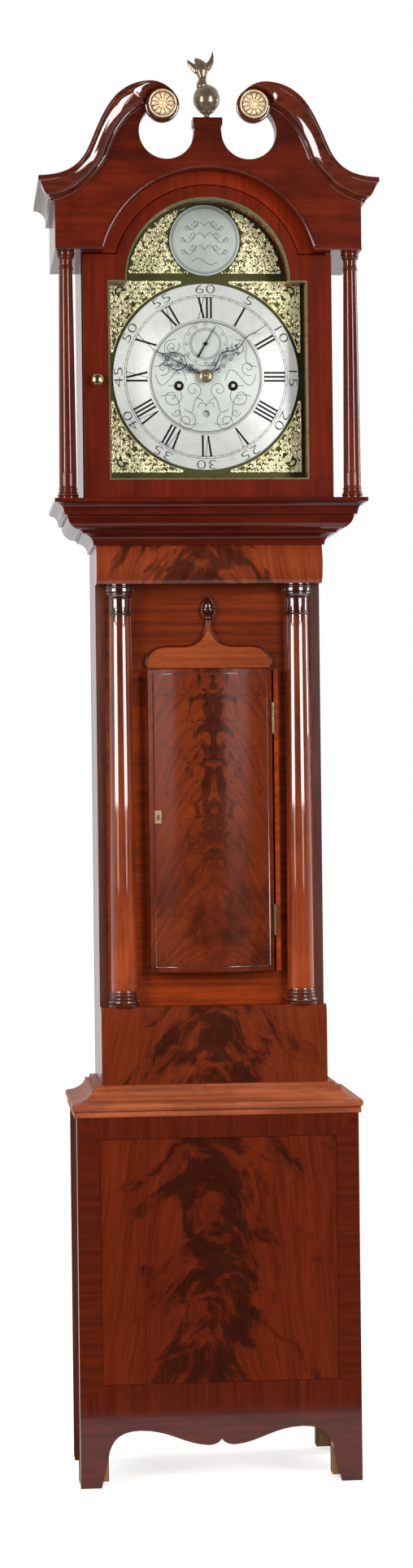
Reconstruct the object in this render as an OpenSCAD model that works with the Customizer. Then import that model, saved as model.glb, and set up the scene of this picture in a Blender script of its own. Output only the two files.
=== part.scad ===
// Longcase clock: eight-day movement in a mahogany case with a swan-neck hood.
// X runs to the right, Z up, and the dial faces -Y. Depths are counted forward from the case's back.

/* [Case widths] */
// Width across the trunk sides
trunk_w = 349; // [320:1:360]
// How far the base stands out beyond each side of the trunk
base_over = 41.5; // [30:0.5:60]
// How far the hood box stands out beyond each side of the trunk
hood_over = 18.5; // [15:0.5:25]
// From the hood's side to the centre of a hood column
column_out = 25; // [25:0.5:36]
// From the centre of a hood column to the end of the frieze
frieze_out = 16; // [14:0.5:24]

/* [Case depths] */
// Depth of the trunk from its back to the recessed front
trunk_depth = 158; // [150:1:180]
// How far the blocks above and below the recess stand forward
block_out = 38; // [30:1:50]
// Depth of the base
base_depth = 240; // [230:1:270]
// Depth of the hood to the front of its mask
mask_front = 198.5; // [195:0.5:215]
// Depth of the pediment board's face
pediment_front = 252; // [252:1:275]
// How far the cornice stands out
cornice_out = 25; // [18:1:30]

/* [Case heights] */
// Height of the skirt with the bracket feet
skirt_h = 111.6; // [90:0.1:130]
// Height of the panel of the base
base_panel_h = 452; // [380:1:545]
// Height of the moulding between base and trunk
base_mould_h = 44.4; // [35:0.1:55]
// Height of the block below the trunk columns
plinth_h = 119; // [90:1:150]
// Height of the recess with the door and the columns
recess_h = 651; // [600:1:782]
// Height of the swelling block above the trunk columns
frieze_h = 59; // [45:1:75]
// Height of the fixed part of the throat moulding
throat_h = 43; // [43:1:50]
// Height of the hood's own base moulding
hood_base_h = 24; // [22:1:30]
// Height of the hood columns
hood_column_h = 377.7; // [377:0.1:400]
// Height of the frieze between hood columns and cornice
hood_frieze_h = 73; // [60:1:80]
// Height of the cornice
cornice_h = 33; // [25:1:38]

/* [Boards and clearances] */
// Thickness of the backboard
back_t = 12; // [8:1:16]
// Thickness of the trunk and base sides
side_t = 14; // [10:1:17]
// Thickness of the front boards
front_t = 18; // [14:1:20]
// Thickness of the hood's sides and roof
hood_t = 12; // [8:1:12]
// Thickness of the hood's mask board
mask_t = 15; // [10:1:16]
// Clearance between parts that slide or swing past each other
slide_gap = 0.3; // [0.3:0.1:0.6]
// Radial clearance of a turning shaft in its bore
run_gap = 0.05; // [0.03:0.01:0.08]

/* [Trunk door] */
// Width of the trunk door
door_w = 192; // [160:1:200]
// Height of the trunk door
door_h = 466; // [400:1:500]
// From the bottom of the recess to the bottom of the door
door_up = 53; // [40:1:70]
// Thickness of the door at its edges
door_edge_t = 22; // [18:1:26]
// How far the door's face bows forward of its edges
door_bow = 32; // [20:1:36]
// Width of the door's stiles and the height of its rails
door_stile = 16; // [12:1:20]

/* [Columns] */
// Radius of a trunk column's shaft at its foot
trunk_col_r = 21; // [17:0.5:23]
// Distance of a trunk column from the centre line
trunk_col_x = 137.5; // [136:0.5:142]
// Radius of a hood column's shaft at its foot
hood_col_r = 13.5; // [11:0.5:14]

/* [Hood door] */
// Thickness of the hood door
hood_door_t = 22; // [20:1:24]
// Width of the frame round the arch of the glass
arch_frame_w = 18; // [14:0.5:19]
// Radius of the pivot pins of the hood door
pivot_r = 3; // [2:0.1:4]

/* [Dial] */
// Width of the square part of the dial plate
dial_w = 307; // [285:1:309]
// Height of the dial's centre above the hood's floor
dial_up = 194.7; // [187:0.1:197]
// Radius of the dial plate's arch
dial_arch_r = 126; // [115:1:127]
// Outer radius of the chapter ring
chapter_r = 144.5; // [130:0.5:146]
// Inner radius of the chapter ring
chapter_in_r = 87.3; // [80:0.1:92]
// Height of the seconds arbor above the dial's centre
seconds_up = 51; // [49:1:53]
// Distance of a winding square from the dial's centre line
winding_x = 42; // [41:0.5:44]
// How far the winding squares are below the dial's centre
winding_down = 14; // [12:0.5:16]
// Depth of the date hole below the dial's centre
date_down = 57; // [54:1:60]

/* [Movement] */
// Distance between the movement's plates
plate_gap = 63; // [60:1:66]
// Radius of a winding drum
drum_r = 24; // [21:0.5:24]
// Radius of the gut line
line_r = 1; // [0.7:0.1:1.2]
// Lift of a weight from run down to fully wound
weight_lift = 1130; // [900:10:1130]
// Diameter of a driving weight
weight_d = 55; // [46:1:56]
// Length of a driving weight
weight_h = 190; // [150:1:228]
// Length of the pendulum from its bend to the bob's centre
pendulum_l = 994; // [980:1:1000]
// Diameter of the pendulum's bob
bob_d = 124; // [100:1:148]
// Radius of the strike bell
bell_r = 50; // [42:1:50]

/* [Hidden] */

// Whole figures used by the joinery
back_y = (pediment_front + cornice_out) / 2;
trunk_half = trunk_w / 2;
trunk_inner = trunk_half - side_t;
base_half = trunk_half + base_over;
hood_half = trunk_half + hood_over;
hood_inner = hood_half - hood_t;
hood_col_x = hood_half + column_out;
frieze_half = hood_col_x + frieze_out;
block_front = trunk_depth + block_out;

// Heights from the floor
z_panel_top = skirt_h + base_panel_h;
z_trunk = z_panel_top + base_mould_h;
z_recess = z_trunk + plinth_h;
z_frieze = z_recess + recess_h;
z_throat = z_frieze + frieze_h;
z_hood = z_throat + throat_h;
z_hood_floor = z_hood + slide_gap + hood_base_h;
z_entablature = z_hood_floor + hood_column_h;
z_cornice = z_entablature + hood_frieze_h;
z_top = z_cornice + cornice_h;
z_door = z_recess + door_up;
z_door_top = z_door + door_h;
z_dial = z_hood_floor + dial_up;

// Throat and hood mouldings, by how far they stand out of the blocks
throat_out = 45;
hood_mould_out = 64.5;
ovolo_r = 21;
cove_r = 17;
hood_cove_r = 14;
cornice_cove_r = 19;
cornice_lip = 6;
soffit_t = 10;
returns_back = back_t + 13;
hood_rail_in = 16;
base_mould_out = base_over + 7;
base_skin_t = 18;

// Skirt and bracket feet
foot_w = 32;
foot_top_w = 45;
foot_top_z = 57;
apron_high = 85.6;
apron_low = 61;
apron_cusp = 70;
apron_high_x = 125;
apron_low_x = 22;
floor_t = 12;
block_w = 26;

// Trunk door: the face is one arc through both edges and the bowed middle
door_half = door_w / 2;
door_gap = 0.4;
door_back = trunk_depth + door_gap;
door_edge = trunk_depth + door_edge_t;
bow_r = (door_half * door_half + door_bow * door_bow) / (2 * door_bow);
bow_centre = door_edge + door_bow - bow_r;
door_skin = 22;
door_rail = 30;
opening_lap = 10;
hinge_x = door_half + 1.5;
hinge_d = door_edge + 3;
knuckle_r = 3;
hinge_pin_r = 1.5;
hinge_len = 48;
hinge_up = [78, 390];
jamb_w = 7;
escutcheon_x = -83;
escutcheon_z = z_door + 239;

// Column turnings
trunk_col_d = block_front - 24.5;
ring_out = 3.5;
hood_col_d = pediment_front - 16.5;

// Glass, sight and hood door
dial_below = 9;
arch_shoulder = -3.3;
sight_lap = 2.5;
sight_half = dial_w / 2 - sight_lap;
sight_low = z_dial - dial_w / 2 - dial_below + 1.1;
sight_spring = z_dial + dial_w / 2 - dial_below - 2.6;
sight_r = dial_arch_r - 1.6;
bead_w = 2.5;
hood_door_gap = 1.5;
door_front = mask_front + hood_door_gap + hood_door_t;
hood_door_half = hood_half - 2;
hood_door_low = z_hood_floor + 0.7;
hood_door_shoulder = z_entablature - 2;
door_arch_r = sight_r + bead_w + arch_frame_w;
surround_r = door_arch_r + 1.5;
pediment_arch_r = sight_r + 42;
pivot_x = hood_door_half - 5;
pivot_d = door_front - 9;
glass_t = 2.4;
rebate = 5;
rebate_t = 6;
pin_in = 14;
pin_out = 11;
pediment_back = door_front;
mask_back = mask_front - mask_t;

// Pediment curves
scroll_x = 69.5;
scroll_up = 112;
scroll_r = 26;
rosette_r = 21.6;
scroll_t = 12;
cut_x = 63;
cut_up = 74;
cut_r = 42;
plinth_half = 20.5;
plinth_up = 84;
cap_h = 11;
cap_over = 2;
arch_ring = 4;
arch_trim = 2;
arch_trim_up = 9;
ball_r = 20;

// Dial and movement stations, counted back from the front plate's inner face
dial_face = mask_back - 11;
dial_t = 2.5;
dial_back = dial_face - dial_t;
ring_t = 1.5;
spandrel_t = 3.5;
roundel_r = 54.5;
roundel_up = 211;
dial_space = 28.5;
plate_t = 3;
front_in = dial_back - dial_space - plate_t;
plate_half = 82;
plate_down = 66;
plate_up = 99;
pillar_r = 4.5;
pillar_spots = [[76, -56], [76, 89]];
back_face = plate_gap + plate_t;
seat_t = 18;
z_seat_top = z_dial - plate_down;
arbor_r = 1.5;
barrel_arbor_r = 4;
cannon_r = 4.2;
hour_pipe_r = 6.2;
centre_arbor_r = 2.8;
pulley_wall = 4;
line_reach = drum_r + line_r;
pulley_z = z_seat_top - 88 - weight_lift;
bend_up = 79;
rod_d = front_in - plate_gap - 18;
rod_r = 2;
hammer_spot = [-62, 60];
bell_up = 110;
bell_d = front_in - 43;

// Where the wheels sit along the depth, counted back from the front plate
great_at = [53, 50];
great_leaves_at = [55, 48];
third_at = [58.5, 56.5];
centre_at = [6, 4];
centre_leaves_at = [8, 3];
escape_at = [42, 40];
escape_leaves_at = [60, 55];
pin_at = [57.5, 55.5];
pin_tip = 61;
drum_at = [47, 12];
line_at = 30.5;
cannon_at = [-plate_t - 2, -plate_t - 4];
hour_wheel_at = [-plate_t - 8, -plate_t - 10];

// Places of the arbors from the dial's centre
great_spot = [winding_x, -winding_down];
third_spot = [16.4, 27.9];
escape_spot = [0, seconds_up];
pin_circle_r = 23.2;
strike_spot = [-winding_x, -winding_down];
pin_spot = [-winding_x - 4, 27.2];
minute_spot = [19, -32.9];
centre_spot = [0, 0];
date_r = 28;
date_spot = [0, -date_down - 23];

// Tooth shape as shares of the module and of the pitch
wheel_add = 0.75;
wheel_ded = 1.1;
wheel_tip = 0.10;
wheel_root = 0.25;
leaf_add = 0.55;
leaf_ded = 1.15;
leaf_tip = 0.11;
leaf_root = 0.20;

// Hands at rest, clockwise from twelve
minute_at = 50;
hour_at = 297;
seconds_at = 30;
minute_l = 125;
hour_l = 89;
seconds_l = 29;

$fn = 64;

function station(y) = front_in - y;
function stations(s) = [station(s[0]), station(s[1])];
function polar(r, a) = [r * cos(a), r * sin(a)];
function gap_between(a, b) = norm(b - a);
function module_of(a, b, na, nb) = 2 * gap_between(a, b) / (na + nb);
function aim(a, b) = atan2(b[1] - a[1], b[0] - a[0]);
function bezier(p, t) = pow(1 - t, 3) * p[0] + 3 * t * pow(1 - t, 2) * p[1]
    + 3 * t * t * (1 - t) * p[2] + t * t * t * p[3];
function curve(p, n = 10) = [for (i = [0 : n]) bezier(p, i / n)];
// Points of a smooth curve through given points, with steps from each to the next
function smooth_path(points, steps) = concat([
    for (i = [0 : len(points) - 2]) let (
        a = points[max(i - 1, 0)],
        b = points[i],
        c = points[i + 1],
        d = points[min(i + 2, len(points) - 1)]
    ) for (k = [0 : steps - 1]) let (t = k / steps)
        b + (c - a) * t / 2 + (2 * a - 5 * b + 4 * c - d) * t * t / 2
            + (3 * b - a - 3 * c + d) * t * t * t / 2
], [points[len(points) - 1]]);
function reverse(list) = [for (i = [len(list) - 1 : -1 : 0]) list[i]];
function mirrored(list) = [for (p = reverse(list)) [-p[0], p[1]]];
function bead(r, z0, z1, out, n = 6) = [for (i = [0 : n])
    [r + out * sin(180 * i / n), (z0 + z1) / 2 - (z1 - z0) / 2 * cos(180 * i / n)]];
function teeth(n, ro, ri, tip, root) = [for (i = [0 : n - 1])
    for (c = [[ri, -root], [ro, -tip], [ro, tip], [ri, root]]) polar(c[0], (i + c[1]) * 360 / n)];

// Box between two widths, two depths from the back and two heights
module board(x, d, z) {
    translate([x[0], back_y - d[1], z[0]]) cube([x[1] - x[0], d[1] - d[0], z[1] - z[0]]);
}

// A shape and its mirror image across the clock's centre line
module pair() {
    children();
    mirror([1, 0, 0]) children();
}

// A front outline, in X and Z, made solid between two depths
module facing(d) {
    translate([0, back_y - d[0], 0]) rotate([90, 0, 0]) linear_extrude(d[1] - d[0]) children();
}

// A plan outline, in X and depth, made solid between two heights
module plan(z) {
    translate([0, back_y, z[0]]) mirror([0, 1, 0]) linear_extrude(z[1] - z[0]) children();
}

// A round bar along the depth, at a place from the dial's centre
module arbor(spot, r, d) {
    translate([spot[0], back_y - d[0], z_dial + spot[1]]) rotate([90, 0, 0])
        cylinder(h = d[1] - d[0], r = r);
}

// A turned post from its outline of radius and height
module turned(x, d, z, outline) {
    translate([x, back_y - d, z]) rotate_extrude() polygon(outline);
}

// A moulding round the front and both sides, mitred, with its profile's X as the projection
module moulding(half_w, front, back, z, reach, inset) {
    far = 2 * (half_w + reach) + 2;
    intersection() {
        translate([-far / 2, back_y - front, 0]) mirror([0, 1, 0]) rotate([90, 0, 90])
            linear_extrude(far) children();
        plan(z) polygon([[-half_w - reach, front + reach], [half_w + reach, front + reach],
            [half_w - inset, front - inset], [-half_w + inset, front - inset]]);
    }
    pair() side_moulding(half_w, front, back, z, reach, inset) children();
}

module side_moulding(half_w, front, back, z, reach, inset) {
    intersection() {
        translate([half_w, back_y - back, 0]) rotate([90, 0, 0])
            linear_extrude(front + reach - back) children();
        plan(z) polygon([[half_w + reach, front + reach], [half_w + reach, back],
            [half_w - inset, back], [half_w - inset, front - inset]]);
    }
}

// The outline of a square with an arch on top, grown evenly all round
module arched(half, low, spring, r, grow = 0) {
    shoulder = spring + arch_shoulder;
    translate([-half - grow, low - grow]) square([2 * (half + grow), shoulder - low + 2 * grow]);
    translate([0, spring]) circle(r = r + grow);
}

// The disc of the pediment's arch, grown evenly all round
module arch_disc(grow = 0) {
    translate([0, sight_spring]) circle(r = pediment_arch_r + grow);
}

// The outline of the glass that shows inside the hood door
module sight(grow = 0) arched(sight_half, sight_low, sight_spring, sight_r, grow);

// Case

module backboard() {
    color("#5a3220") {
        board([-trunk_half, trunk_half], [0, back_t], [skirt_h, z_cornice + 5]);
        pair() board([trunk_half, base_half - base_skin_t], [0, back_t], [skirt_h, z_panel_top]);
    }
}

module trunk_sides() {
    color("#6b2c16") pair()
        board([trunk_inner, trunk_half], [back_t, trunk_depth], [z_panel_top - 60, z_seat_top - seat_t]);
}

module trunk_front() {
    color("#7a3018") {
        difference() {
            board([-trunk_inner, trunk_inner], [trunk_depth - front_t, trunk_depth],
                [z_panel_top - 20, z_hood - 2]);
            board([-door_half + opening_lap, door_half - opening_lap],
                [trunk_depth - front_t - 1, trunk_depth + 1],
                [z_door + opening_lap + 2, z_door_top - opening_lap - 2]);
        }
        board([door_half + 3, door_half + 3 + jamb_w], [trunk_depth, trunk_depth + door_edge_t - 1],
            [z_door, z_door_top]);
    }
}

module trunk_frieze() {
    bulge = 12;
    r = (frieze_h * frieze_h / 4 + bulge * bulge) / (2 * bulge);
    color("#7d3417") intersection() {
        translate([-trunk_half, back_y, 0]) mirror([0, 1, 0]) rotate([90, 0, 90])
            linear_extrude(trunk_w) union() {
                translate([trunk_depth, z_frieze]) square([block_out, frieze_h]);
                intersection() {
                    translate([block_front + bulge - r, z_frieze + frieze_h / 2]) circle(r = r);
                    translate([block_front, z_frieze]) square([bulge + 1, frieze_h]);
                }
            }
        board([-trunk_half, trunk_half], [trunk_depth, block_front + bulge + 1], [z_frieze, z_throat]);
    }
}

module trunk_plinth() {
    set_back = 8;
    swell_h = 25;
    color("#7d3417") translate([-trunk_half, back_y, 0]) mirror([0, 1, 0]) rotate([90, 0, 90])
        linear_extrude(trunk_w) polygon(concat(
            [[trunk_depth, z_recess], [trunk_depth, z_panel_top], [block_front, z_panel_top]],
            [for (a = [0 : 15 : 90])
                [block_front - set_back * (1 - cos(a)), z_recess - swell_h * (1 - sin(a))]]));
}

// The outline of a turned column, thinner at the top, with rings at both ends
function column_outline(h, r, top_r) = concat(
    [[0, 0], [r + ring_out, 0], [r + ring_out, 0.2 * r]],
    bead(r + 0.5, 0.25 * r, 0.62 * r, 0.14 * r), bead(r, 0.78 * r, 1.06 * r, 0.1 * r),
    [[r, 1.3 * r], [top_r, h - 2.6 * r]], bead(top_r, h - 2.4 * r, h - 2.1 * r, 0.13 * r),
    [[top_r, h - 1.2 * r]], bead(top_r, h - 1.1 * r, h - 0.8 * r, 0.13 * r),
    [[top_r, h - 0.7 * r], [r, h - 0.3 * r], [r, h], [0, h]]);

module trunk_columns() {
    color("#8a3c1a") pair() difference() {
        turned(trunk_col_x, trunk_col_d, z_recess,
            column_outline(recess_h, trunk_col_r, 0.81 * trunk_col_r));
        board([trunk_col_x - 30, trunk_col_x + 30], [trunk_depth - 40, trunk_depth],
            [z_recess - 1, z_frieze + 1]);
    }
}

module ogee_panel() {
    foot = z_door_top;
    side = [[door_half, foot + 3], [door_half + 6, foot + 14], [door_half + 2, foot + 26], [82, foot + 35]];
    shoulder = [[82, foot + 35], [62, foot + 41], [36, foot + 33], [20, foot + 43]];
    neck = [[20, foot + 43], [10, foot + 50], [4, foot + 60], [3.5, foot + 78]];
    half = concat(curve(side, 6), curve(shoulder, 8), curve(neck, 6));
    acorn_d = trunk_depth + 6;
    color("#7a3018") {
        facing([trunk_depth, trunk_depth + 6])
            polygon(concat([[-door_half, foot + 3]], reverse(mirrored(half)), reverse(half)));
        difference() {
            turned(0, acorn_d, foot + 78, concat([[0, 0], [4, 0]], bead(3, 1, 5, 2), [[5, 8], [8.5, 12]],
                bead(8, 12, 18, 1.5), [[7.5, 19], [6, 26], [2, 33], [0, 35]]));
            board([-12, 12], [acorn_d - 20, trunk_depth], [foot + 70, foot + 120]);
        }
    }
}

module throat_moulding() {
    mid = throat_h * 0.47;
    color("#6e2a15") moulding(trunk_half, block_front, back_t, [z_throat, z_hood], throat_out, 0)
        translate([0, z_throat]) union() {
            difference() {
                square([throat_out - ovolo_r - 3, mid]);
                translate([cove_r + 4, 0]) circle(r = cove_r);
            }
            intersection() {
                translate([throat_out - ovolo_r, throat_h]) circle(r = ovolo_r);
                translate([0, mid]) square([throat_out, throat_h - mid]);
            }
            translate([0, mid]) square([throat_out - ovolo_r, throat_h - mid]);
        }
}

module base_moulding() {
    lip_h = 8;
    torus_r = 7;
    fillet = 10;
    fillet_h = 5;
    cove = base_mould_out - fillet - torus_r;
    cove_h = base_mould_h - lip_h - 2 * torus_r - fillet_h + 2;
    color("#8c4522") moulding(trunk_half, block_front, 0, [z_panel_top, z_trunk], base_mould_out, 0)
        translate([0, z_panel_top]) difference() {
            union() {
                square([base_mould_out - torus_r, base_mould_h]);
                square([base_mould_out - 3, lip_h]);
                translate([base_mould_out - torus_r, lip_h + torus_r]) circle(r = torus_r);
            }
            translate([base_mould_out, base_mould_h - fillet_h]) oval(cove, cove_h);
            translate([fillet, base_mould_h - fillet_h]) square([base_mould_out, fillet_h + 1]);
        }
}

// An oval of two half widths
module oval(a, b) {
    polygon([for (t = [0 : 10 : 350]) [a * cos(t), b * sin(t)]]);
}

module base_front() {
    color("#5f2413")
        board([-base_half, base_half], [base_depth - base_skin_t, base_depth], [skirt_h, z_panel_top]);
}

module base_sides() {
    color("#5f2413") pair() difference() {
        board([base_half - base_skin_t, base_half], [0, base_depth - base_skin_t], [0, z_panel_top]);
        hull() for (d = [foot_top_w + 14, base_depth - foot_top_w - 34])
            translate([base_half - base_skin_t - 1, back_y - d, foot_top_z - 12]) rotate([0, 90, 0])
                cylinder(h = base_skin_t + 2, r = 16, $fn = 32);
        board([base_half - base_skin_t - 1, base_half + 1],
            [foot_top_w - 2, base_depth - foot_top_w - 18], [-1, foot_top_z - 12]);
    }
}

module base_floor() {
    color("#6a4a30") {
        board([-base_half + base_skin_t, base_half - base_skin_t],
            [back_t, base_depth - base_skin_t], [skirt_h, skirt_h + floor_t]);
        for (d = [[0, block_w], [base_depth - base_skin_t - block_w, base_depth - base_skin_t]])
            pair() board([base_half - base_skin_t - block_w, base_half - base_skin_t], d, [6, skirt_h]);
    }
}

module bracket_skirt() {
    apron = concat(
        curve([[0, apron_cusp], [3, apron_low + 4], [10, apron_low - 1], [apron_low_x, apron_low]], 5),
        curve([[apron_low_x, apron_low], [60, apron_low + 3], [80, apron_high],
            [apron_high_x, apron_high]], 8),
        curve([[apron_high_x, apron_high], [155, apron_high], [base_half - foot_top_w - 6, foot_top_z + 16],
            [base_half - foot_top_w, foot_top_z]], 6),
        [[base_half - foot_top_w + 5, foot_top_z * 0.6], [base_half - foot_w, 0], [base_half, 0]]);
    color("#64260f") facing([base_depth - base_skin_t, base_depth])
        polygon(concat(apron, [[base_half, skirt_h], [-base_half, skirt_h]], mirrored(apron)));
}

module seatboard() {
    line_d = station(line_at);
    color("#8b6a45") difference() {
        board([-trunk_half, trunk_half], [30, dial_back - 19], [z_seat_top - seat_t, z_seat_top]);
        board([-20, 20], [29, station(plate_gap + 10)], [z_seat_top - seat_t - 1, z_seat_top + 1]);
        pair() for (x = [winding_x - line_reach, winding_x + line_reach])
            board([x - 5, x + 5], [line_d - 20, line_d + 20], [z_seat_top - seat_t - 1, z_seat_top + 1]);
    }
}

// A bar round the trunk door's hinge line
module hinge_bar(z, h, r) {
    translate([hinge_x, back_y - hinge_d, z]) cylinder(h = h, r = r);
}

module trunk_hinges_fixed() {
    third = hinge_len / 3;
    color("#b8923e") for (up = hinge_up) {
        z = z_door + up - hinge_len / 2;
        for (k = [0, 2]) {
            hinge_bar(z + k * third, third, knuckle_r);
            board([hinge_x + 0.5, door_half + 3], [trunk_depth + 2, hinge_d],
                [z + k * third, z + (k + 1) * third]);
        }
        hinge_bar(z, hinge_len, hinge_pin_r);
    }
}

// Trunk door

module bowed(r) {
    translate([0, bow_centre]) circle(r = r, $fn = 128);
}

module trunk_door_panel() {
    color("#6a2412") difference() {
        plan([z_door, z_door_top]) intersection() {
            bowed(bow_r);
            translate([-door_half, door_back]) square([door_w, door_bow + door_edge_t + 1]);
        }
        plan([z_door + door_rail, z_door_top - door_rail]) intersection() {
            bowed(bow_r - door_skin);
            translate([-door_half + door_stile, door_back - 1]) square([door_w - 2 * door_stile, 80]);
        }
    }
}

module trunk_hinges_moving() {
    third = hinge_len / 3;
    color("#b8923e") for (up = hinge_up) {
        z = z_door + up - hinge_len / 2 + third;
        difference() {
            union() {
                hinge_bar(z + slide_gap, third - 2 * slide_gap, knuckle_r);
                board([door_half, hinge_x - 0.5], [trunk_depth + 2, hinge_d],
                    [z + slide_gap, z + third - slide_gap]);
            }
            hinge_bar(z, third, hinge_pin_r + run_gap);
        }
    }
}

module escutcheon() {
    color("#c9a24a") difference() {
        intersection() {
            plan([escutcheon_z - 10, escutcheon_z + 10]) difference() {
                bowed(bow_r + 1);
                bowed(bow_r);
            }
            board([escutcheon_x - 5, escutcheon_x + 5], [door_edge, door_edge + door_bow],
                [escutcheon_z - 10, escutcheon_z + 10]);
        }
        board([escutcheon_x - 1.3, escutcheon_x + 1.3], [door_edge - 5, door_edge + door_bow],
            [escutcheon_z - 5, escutcheon_z + 3]);
    }
}

// Hood

module hood_base() {
    lip_h = 6;
    low = z_hood + slide_gap;
    color("#6e2a15") difference() {
        union() {
            moulding(trunk_half, block_front, back_t + 1, [low, z_hood_floor], hood_mould_out, 0)
                translate([slide_gap + 1, low]) difference() {
                    square([hood_mould_out - slide_gap - 1, hood_base_h]);
                    translate([hood_mould_out - slide_gap - 1, hood_base_h - lip_h - hood_cove_r])
                        circle(r = hood_cove_r);
                    translate([hood_mould_out - hood_cove_r - 2, -1])
                        square([hood_cove_r + 2, hood_base_h - lip_h - hood_cove_r + 1]);
                }
            board([-trunk_half - 1.3, trunk_half + 1.3], [block_front - hood_rail_in, block_front + 1.3],
                [low, z_hood_floor]);
        }
        translate([pivot_x, back_y - pivot_d, z_hood_floor - pin_out - 1])
            cylinder(h = pin_out + 2, r = pivot_r + run_gap);
    }
}

module hood_carcase() {
    color("#5d2010") {
        pair() board([hood_inner, hood_half], [back_t + 1, mask_back], [z_hood_floor, z_top - hood_t]);
        difference() {
            board([-frieze_half + side_t, frieze_half - side_t], [back_t + 1, pediment_back],
                [z_top - hood_t, z_top]);
            facing([mask_front, pediment_back + 1]) arch_disc(arch_ring);
        }
    }
}

module hood_mask() {
    color("#5d2010") difference() {
        union() {
            board([-hood_half, hood_half], [mask_back, mask_front], [z_hood_floor, z_top - hood_t]);
            board([-hood_half, hood_half], [mask_front, pediment_back], [z_entablature, z_top - hood_t]);
            facing([mask_front, pediment_back]) intersection() {
                arch_disc(arch_ring);
                translate([-hood_half, z_entablature]) square([2 * hood_half, 2 * pediment_arch_r]);
            }
        }
        facing([mask_back - 1, mask_front + 1]) sight(1);
        facing([mask_front, pediment_back + 1]) translate([0, sight_spring]) circle(r = surround_r);
        translate([pivot_x, back_y - pivot_d, z_entablature - 1])
            cylinder(h = pin_out + 2, r = pivot_r + run_gap);
    }
}

module hood_columns() {
    color("#7a3018") pair() turned(hood_col_x, hood_col_d, z_hood_floor,
        column_outline(hood_column_h, hood_col_r, 0.75 * hood_col_r));
}

// Pediment: the outer and inner edges of one swan neck, from the cornice's corner to its scroll
cornice_half = frieze_half + cornice_out;
outer_edge = concat(
    curve([[cornice_half, z_top + 1], [222, z_top + 2], [203, z_top + 12], [189, z_top + 33]], 8),
    curve([[189, z_top + 33], [177, z_top + 52], [166, z_top + 95], [142, z_top + 121.5]], 8),
    curve([[142, z_top + 121.5], [128, z_top + 136], [108, z_top + 146], [86, z_top + 146]], 6),
    curve([[86, z_top + 146], [72, z_top + 146], [60, z_top + 138], [52, z_top + 130]], 5));
inner_edge = concat(
    curve([[frieze_half, z_cornice], [205, z_cornice + 7], [175, z_cornice + 30],
        [154, z_cornice + 66]], 8),
    curve([[154, z_cornice + 66], [146, z_cornice + 88], [135, z_cornice + 125],
        [96, z_cornice + 145]], 8));

module swan_band(depth, trim) {
    facing(depth) difference() {
        union() {
            polygon(concat([[cornice_half, z_cornice]], outer_edge, reverse(inner_edge)));
            translate([scroll_x, z_top + scroll_up]) circle(r = scroll_r);
        }
        if (trim) translate([scroll_x, z_top + scroll_up]) circle(r = rosette_r + slide_gap);
        if (trim) polygon(concat([[cornice_half + 1, z_cornice - 1]],
            [for (p = outer_edge) p + [-3, -8]], [[70, z_top + 120]], reverse(inner_edge)));
    }
}

module tympanum() {
    rim = [for (p = inner_edge) p + [0, 6]];
    trim_front = pediment_front + arch_trim;
    color("#611f0f") {
        facing([pediment_back, pediment_front]) difference() {
            union() {
                translate([-frieze_half, z_entablature]) square([2 * frieze_half, hood_frieze_h]);
                for (s = [-1, 1]) scale([s, 1])
                    polygon(concat([[0, z_cornice - 1], [frieze_half, z_cornice - 1]], rim,
                        [[84, z_top + 90], [45, z_top + cut_up], [0, z_top + cut_up]]));
                translate([-plinth_half, z_cornice]) square([2 * plinth_half, cornice_h + plinth_up]);
            }
            arch_disc();
            for (s = [-1, 1]) translate([s * cut_x, z_top + cut_up]) circle(r = cut_r);
        }
        board([-plinth_half - cap_over, plinth_half + cap_over], [pediment_back, trim_front],
            [z_top + plinth_up, z_top + plinth_up + cap_h]);
        facing([pediment_front, trim_front]) intersection() {
            difference() {
                arch_disc(arch_ring);
                arch_disc();
            }
            translate([-frieze_half, z_entablature + arch_trim_up])
                square([2 * frieze_half, pediment_arch_r]);
        }
    }
}

module entablature_returns() {
    low = cornice_h - cornice_lip - cornice_cove_r;
    color("#611f0f") pair() {
        board([frieze_half - side_t, frieze_half], [returns_back, pediment_back], [z_entablature, z_top]);
        board([hood_half, frieze_half - side_t], [returns_back, pediment_back],
            [z_entablature, z_entablature + soffit_t]);
        side_moulding(frieze_half, pediment_front, returns_back, [z_cornice, z_top], cornice_out, 0)
            translate([0, z_cornice]) difference() {
                square([cornice_out, cornice_h]);
                translate([cornice_out, low]) circle(r = cornice_cove_r);
                translate([cornice_out - cornice_cove_r, -1]) square([cornice_cove_r + 1, low + 1]);
            }
    }
}

module swan_necks() {
    reach = pediment_front + cornice_out;
    color("#6e2411") intersection() {
        pair() {
            swan_band([pediment_front, pediment_front + scroll_t], false);
            swan_band([pediment_front + scroll_t, reach], true);
        }
        plan([z_cornice - 1, z_top + 200]) polygon([[-cornice_half, reach], [cornice_half, reach],
            [frieze_half, pediment_front], [-frieze_half, pediment_front]]);
    }
}

module rosettes() {
    seat = pediment_front + scroll_t;
    color("#c9a24a") pair() translate([scroll_x, back_y - seat, z_top + scroll_up]) rotate([90, 0, 0])
        rotate_extrude() polygon([[0, 0], [rosette_r, 0], [rosette_r, 7], [19.5, 9], [16, 8], [9, 9.5],
            [6, 9], [5, 11.5], [0, 12.5]]);
}

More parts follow.
